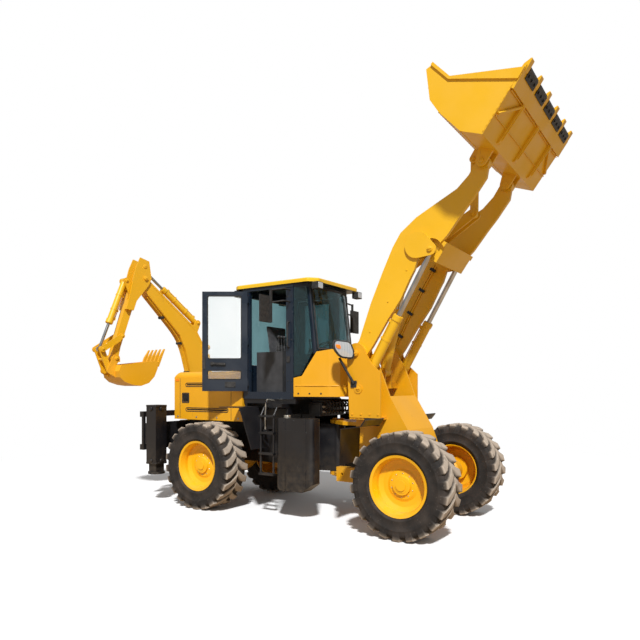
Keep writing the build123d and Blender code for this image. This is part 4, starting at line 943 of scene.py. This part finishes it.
# ---------------- hood and rear body
# A large rounded hood with long black slots, a louvred vent, seams between its panels, bolts
# along its foot and amber reflectors; black fenders under it.
dress(body_paint, "rear_hood")
dress(black_iron, "rear_fenders", edge=0.003)
HOOD_SIDE = 0.589
VENT = rectangle((-2.190, -2.050), (1.430, 1.570), 0.014)
slots, louvres, hood_seams = [], [], []
for hand in HANDS:
    for z in (1.320, 1.680):
        rim = rectangle((-2.115, -1.285), (z - 0.014, z + 0.036), 0.024)
        slots.append(bead(flat, rim, hand * HOOD_SIDE, 160))
        slots.append(extruded(rim, flat, *proud(hand, HOOD_SIDE, -0.024, -0.010)))
    slots.append(bead(flat, VENT, hand * (HOOD_SIDE + 0.001), 60))
    slots.append(extruded(VENT, flat, *proud(hand, HOOD_SIDE, -0.024, -0.012)))
    louvres += [slab(flat, (-2.182, -2.058), (z - 0.004, z + 0.006),
                     proud(hand, HOOD_SIDE, -0.014, 0.004)) for z in np.linspace(1.446, 1.554, 7)]
    hood_seams += [[(x, hand * (HOOD_SIDE - 0.001), z) for z in (1.200, 1.500, 1.785)]
                   for x in (-1.230, -2.235)]
piece("hood_slots", slots, *REAR_TRIM)
piece("hood_louvres", louvres, *REAR_TRIM, 0.001)
pipe("hood_seams", hood_seams, 0.004, *REAR_TRIM)
piece("hood_bolts", [bolts([(x, hand * HOOD_SIDE, 1.225) for x in (-2.28, -1.90, -1.50, -1.10)],
                           (0, hand, 0), 0.010, 0.009) for hand in HANDS], *REAR_STEEL)
piece("hood_reflectors", [slab(flat, (-2.325, -2.255), (1.745, 1.775),
                               proud(hand, HOOD_SIDE, 0, 0.006), 0.006) for hand in HANDS],
      "rear_frame", "bright_yellow_paint", amber, 0.001)

# ---------------- tanks, ladder and mirrors
# Black saddle tanks with straps, a lid and a filler cap; a tube ladder with gripped steps and a
# worn handrail; two mirrors on bent arms.
dress(black_iron, "fuel_tank", "hydraulic_tank", "boarding_ladder", edge=0.004)
dress(seal_rubber, "mirrors", "work_lamps", edge=0.006)
TANK_SIDE, STRAP_TOP, STRAP_HALF = 0.850, 1.276, 0.022
tank_trim, caps = [], []
for hand in HANDS:
    for x, low, high in ((-0.12, 0.36, 0.36), (0.19, 0.41, 0.43)):  # a strap ends on the chamfer
        strap = [(x - STRAP_HALF, low), (x + STRAP_HALF, high), (x + STRAP_HALF, STRAP_TOP),
                 (x - STRAP_HALF, STRAP_TOP)]
        tank_trim.append(extruded(strap, flat, *proud(hand, TANK_SIDE, -0.002, 0.005)))
        tank_trim.append(bolts([(x, hand * (TANK_SIDE + 0.005), z) for z in (0.50, 1.22)],
                               (0, hand, 0), 0.008, 0.007))
    tank_trim.append(slab(flat, (-0.17, 0.23), (0.62, 1.12),
                          proud(hand, TANK_SIDE, -0.002, 0.003), 0.04))
    caps.append(disc(0.045, 0.030, 0.036, 0.036, (-0.14, hand * 0.75, 1.270), UP))
piece("tank_straps", tank_trim, "rear_frame", "black_plastic", black_iron, 0.001)
piece("filler_caps", caps, *REAR_STEEL, 0.002)
piece("step_grips", [slab(flat, (-0.495, -0.270), (z + 0.011, z + 0.016), (y - 0.003, y + 0.003))
                     for z in (1.075, 0.813, 0.555) for y in np.linspace(-0.874, -0.826, 4)],
      "rear_frame", "black_plastic", black_iron, 0.001)
pipe("handrail_sleeve", [[(-0.470, -0.602, 1.480), (-0.470, -0.700, 1.494),
                          (-0.467, -0.762, 1.492), (-0.483, -0.762, 1.300),
                          (-0.483, -0.762, 1.115)]], 0.0135, "rear_frame", "chrome_rod", zinc)
piece("mirror_panes", [slab(facing_front, span, (2.480, 2.788), (x - 0.026, x - 0.029), 0.02)
                       for span, x in (((0.872, 1.068), -0.150), ((-1.068, -0.872), -0.300))],
      "rear_frame", "chrome_rod", silver)

# ---------------- work lamps
# Round-cornered black lamps under the roof's edge, each with a clear ribbed lens.
piece("work_lamp_lenses", [slab(facing_front, (y - 0.050, y + 0.050), (2.908, 2.982), (x, x + out),
                                0.012) for y in (-0.500, 0.500)
                           for x, out in ((0.195, 0.006), (-1.195, -0.006))],
      "rear_frame", "tinted_glass", clear_lens, 0.002)

# ---------------- seat, levers and steering wheel
# A sprung seat with two pads in dark woven fabric, plastic consoles, six levers with rubber
# boots, and a wheel on a leaning column.
dress(console, "seat_base", "steering_wheel", "control_levers", edge=0.006)
PAD_VOXEL, PAD_PRESSURE, PUFF_STEPS, PUFF_CAP = 0.011, 4.0, 20, 0.022
LEVER_X, LEVER_FOOT = -0.520, 2.131


def puffed(name, shape):
    """Padded fabric: a voxel remesh blown up by cloth pressure, capped in how far it moves."""
    pad = piece(name, [shape], "rear_frame", "seat_fabric", fabric)
    bpy.context.view_layer.objects.active = pad
    pad.select_set(True)
    joiner = pad.modifiers.new("skin", "REMESH")
    joiner.mode, joiner.voxel_size = "VOXEL", PAD_VOXEL
    bpy.ops.object.modifier_apply(modifier="skin")
    before = spots_of(pad.data)
    cloth = pad.modifiers.new("cloth", "CLOTH")
    cloth.settings.use_pressure = True
    cloth.settings.uniform_pressure_force = PAD_PRESSURE
    cloth.settings.effector_weights.gravity = 0.0
    for number in range(1, PUFF_STEPS + 1):
        bpy.context.scene.frame_set(number)
    bpy.ops.object.modifier_apply(modifier="cloth")
    bpy.context.scene.frame_set(1)
    step = spots_of(pad.data) - before
    length = np.linalg.norm(step, axis=1, keepdims=True)
    step *= np.minimum(1, PUFF_CAP / np.maximum(length, 1e-9))
    pad.data.vertices.foreach_set("co", (before + step).ravel())
    pad.data.polygons.foreach_set("use_smooth", np.ones(len(pad.data.polygons), bool))
    pad.select_set(False)
    smooth = pad.modifiers.new("smooth", "SUBSURF")
    smooth.levels = smooth.render_levels = 1
    return pad


seat_pad = puffed("seat_pad", slab(flat, (-0.865, -0.400), (1.918, 1.995), (-0.210, 0.210), 0.03))
back = eased([(-0.870, 2.045), (-0.815, 2.045), (-0.875, 2.535), (-0.935, 2.535)], 0.025)
back_pad = puffed("back_pad", extruded(back, flat, -0.200, 0.200))
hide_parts("seat_cushion")
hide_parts("seat_cushion")
folds = [(0.032 - 0.018 * t + 0.004 * (-1) ** k, 0.088 * t)
         for k, t in enumerate(np.linspace(0, 1, 11))]
BOOT = [(0, 0), *folds, (0, 0.090)]
KNOB = ((0, 0.176), (0.010, 0.178), (0.0215, 0.192), (0.0225, 0.202), (0.019, 0.214), (0, 0.221))
levers = [(LEVER_X, y, LEVER_FOOT) for y in (-0.430, -0.370, -0.310, 0.310, 0.370, 0.430)]
piece("lever_boots", [turned(BOOT, at, UP, 20) for at in levers], *REAR_TRIM)
piece("lever_knobs", [turned(KNOB, at, UP, 20) for at in levers], "rear_frame", "black_plastic",
      console)

# ---------------- backhoe carrier and stabilizers
# Two rails between the stabilizers' boxes, and the carriage that clamps on them, all black.
dress(black_iron, "backhoe_carrier", "backhoe_carriage", "stabilizer_left", "stabilizer_right",
      edge=0.004)
BOX_FRONT, BOX_MIDDLE = -2.290, (-2.390, 0.900)
carrier_trim = []
for hand in HANDS:
    y = hand * BOX_MIDDLE[1]
    for z in (0.60, 1.345):
        for place, axis in (((BOX_FRONT, y, z), AHEAD),
                            ((BOX_MIDDLE[0], y + hand * 0.100, z), (0, hand, 0))):
            carrier_trim.append(disc(0.030, 0.014, 0.022, 0.018, place, axis))
    carrier_trim += [slab(plan, (-2.498, -2.282), (y - 0.108, y + 0.108), (z, z + 0.024), 0.02)
                     for z in (0.555, 1.375)]
piece("stabilizer_collars", carrier_trim, *REAR_BLACK, 0.003)
SWING = (-2.845, 0.610)
clamps = [(-2.718, SWING[1] + hand * off, z) for hand in HANDS for off in (0.10, 0.20, 0.30)
          for z in (0.72, 1.32)]
piece("carriage_clamp_bolts", [bolts(clamps, (-1, 0, 0), 0.016, 0.006)], *REAR_STEEL)

# ---------------- backhoe
# Box-section boom and dipper in orange-yellow paint, with a cap on every pin, steel lines
# clamped along the boom's back, and a worn digging bucket. Points are (out from the swing
# axis, up).
on_hoe = standing(SWING, math.radians(260), -1)
ACROSS = on_hoe(0, 0, 1) - on_hoe(0, 0, 0)
dress(hoe_paint, "swing_post", "hoe_boom", "hoe_dipper", "guide_link", "bucket_link", edge=0.003)
dress(hoe_worn, "hoe_bucket", "hoe_teeth", edge=0.003)
FOOT, TIP, BOOM_BASE, BOOM_LUG = (0.280, 1.200), (1.241, 3.330), (-0.060, 1.430), (0.040, 2.330)
DIP_BASE, DIP_PIN, HOE_BASE, KNEE = (0.250, 2.725), (1.250, 3.512), (1.530, 3.265), (1.930, 2.215)
GUIDE, HOE_HINGE = (1.630, 2.420), (1.716, 2.086)
FOOT_ROOM = 0.27  # the foot's caps pass close by the carriage as the post swings
BOOM_BACK = ((0.200, 1.330), (0.415, 1.700), (0.425, 1.905), (0.520, 2.245), (0.622, 2.475),
             (0.90, 2.770), (1.185, 3.062))
BOOM_WELDS = (((0.150, 1.90), (0.205, 2.385), (0.335, 2.610), (1.150, 3.262)),
              ((0.368, 1.35), (0.398, 1.91), (0.490, 2.252), (0.600, 2.500), (1.160, 3.076)))


def hoe_caps(name, body, *pins):
    """Caps on both ends of pins; a pin is (place, half-width, radius), then a share of height."""
    piece(name, [pin_cap(on_hoe(*spot, hand * half), hand * ACROSS, radius, HOE_CAP, *low)
                 for spot, half, radius, *low in pins for hand in HANDS],
          body, "yellow_paint", hoe_paint)


hoe_caps("post_pin_caps", "swing_post", (FOOT, 0.121, 0.034, FOOT_ROOM), (BOOM_BASE, 0.128, 0.026))
hoe_caps("boom_pin_caps", "hoe_boom", (BOOM_LUG, 0.072, 0.026), (DIP_BASE, 0.077, 0.026))
hoe_caps("dipper_pin_caps", "hoe_dipper", (TIP, 0.133, 0.032), (DIP_PIN, 0.118, 0.030),
         (HOE_BASE, 0.077, 0.026))
hoe_caps("guide_pin_caps", "guide_link", (GUIDE, 0.134, 0.022), (KNEE, 0.134, 0.022))
hoe_caps("bucket_pin_caps", "hoe_bucket", (HOE_HINGE, 0.122, 0.026))
pipe("boom_steel_lines", [traced(on_hoe, BOOM_BACK, w) for w in (-0.045, -0.015, 0.015, 0.045)],
     0.008, *BOOM_TRIM)
piece("boom_line_saddles", [extruded(eased([(r - 0.016, z - 0.020), (r + 0.020, z - 0.014),
                                            (r + 0.024, z + 0.020), (r - 0.012, z + 0.020)], 0.006),
                                     on_hoe, -0.062, 0.062)
                            for r, z in ((0.424, 1.90), (0.572, 2.370), (0.90, 2.762))],
      "hoe_boom", "black_plastic", seal_rubber, 0.002)
piece("boom_welds", [weld(traced(on_hoe, route, w), 0.004, count=160) for w in (0.0905, -0.0905)
                     for route in BOOM_WELDS], *BOOM_TRIM)
for word, base, pin, length, turn in (("boom", BOOM_BASE, BOOM_LUG, 0.780, 1.0),
                                      ("dipper", DIP_BASE, DIP_PIN, 0.800, 1.0),
                                      ("bucket", HOE_BASE, KNEE, 0.700, -1.0)):
    cylinder_trim(f"{word}_cylinder", f"{word}_barrel", on_hoe, base, pin, 0.0, length, 0.046, turn)

# ---------------- finish
bpy.context.scene.view_settings.view_transform = "Standard"
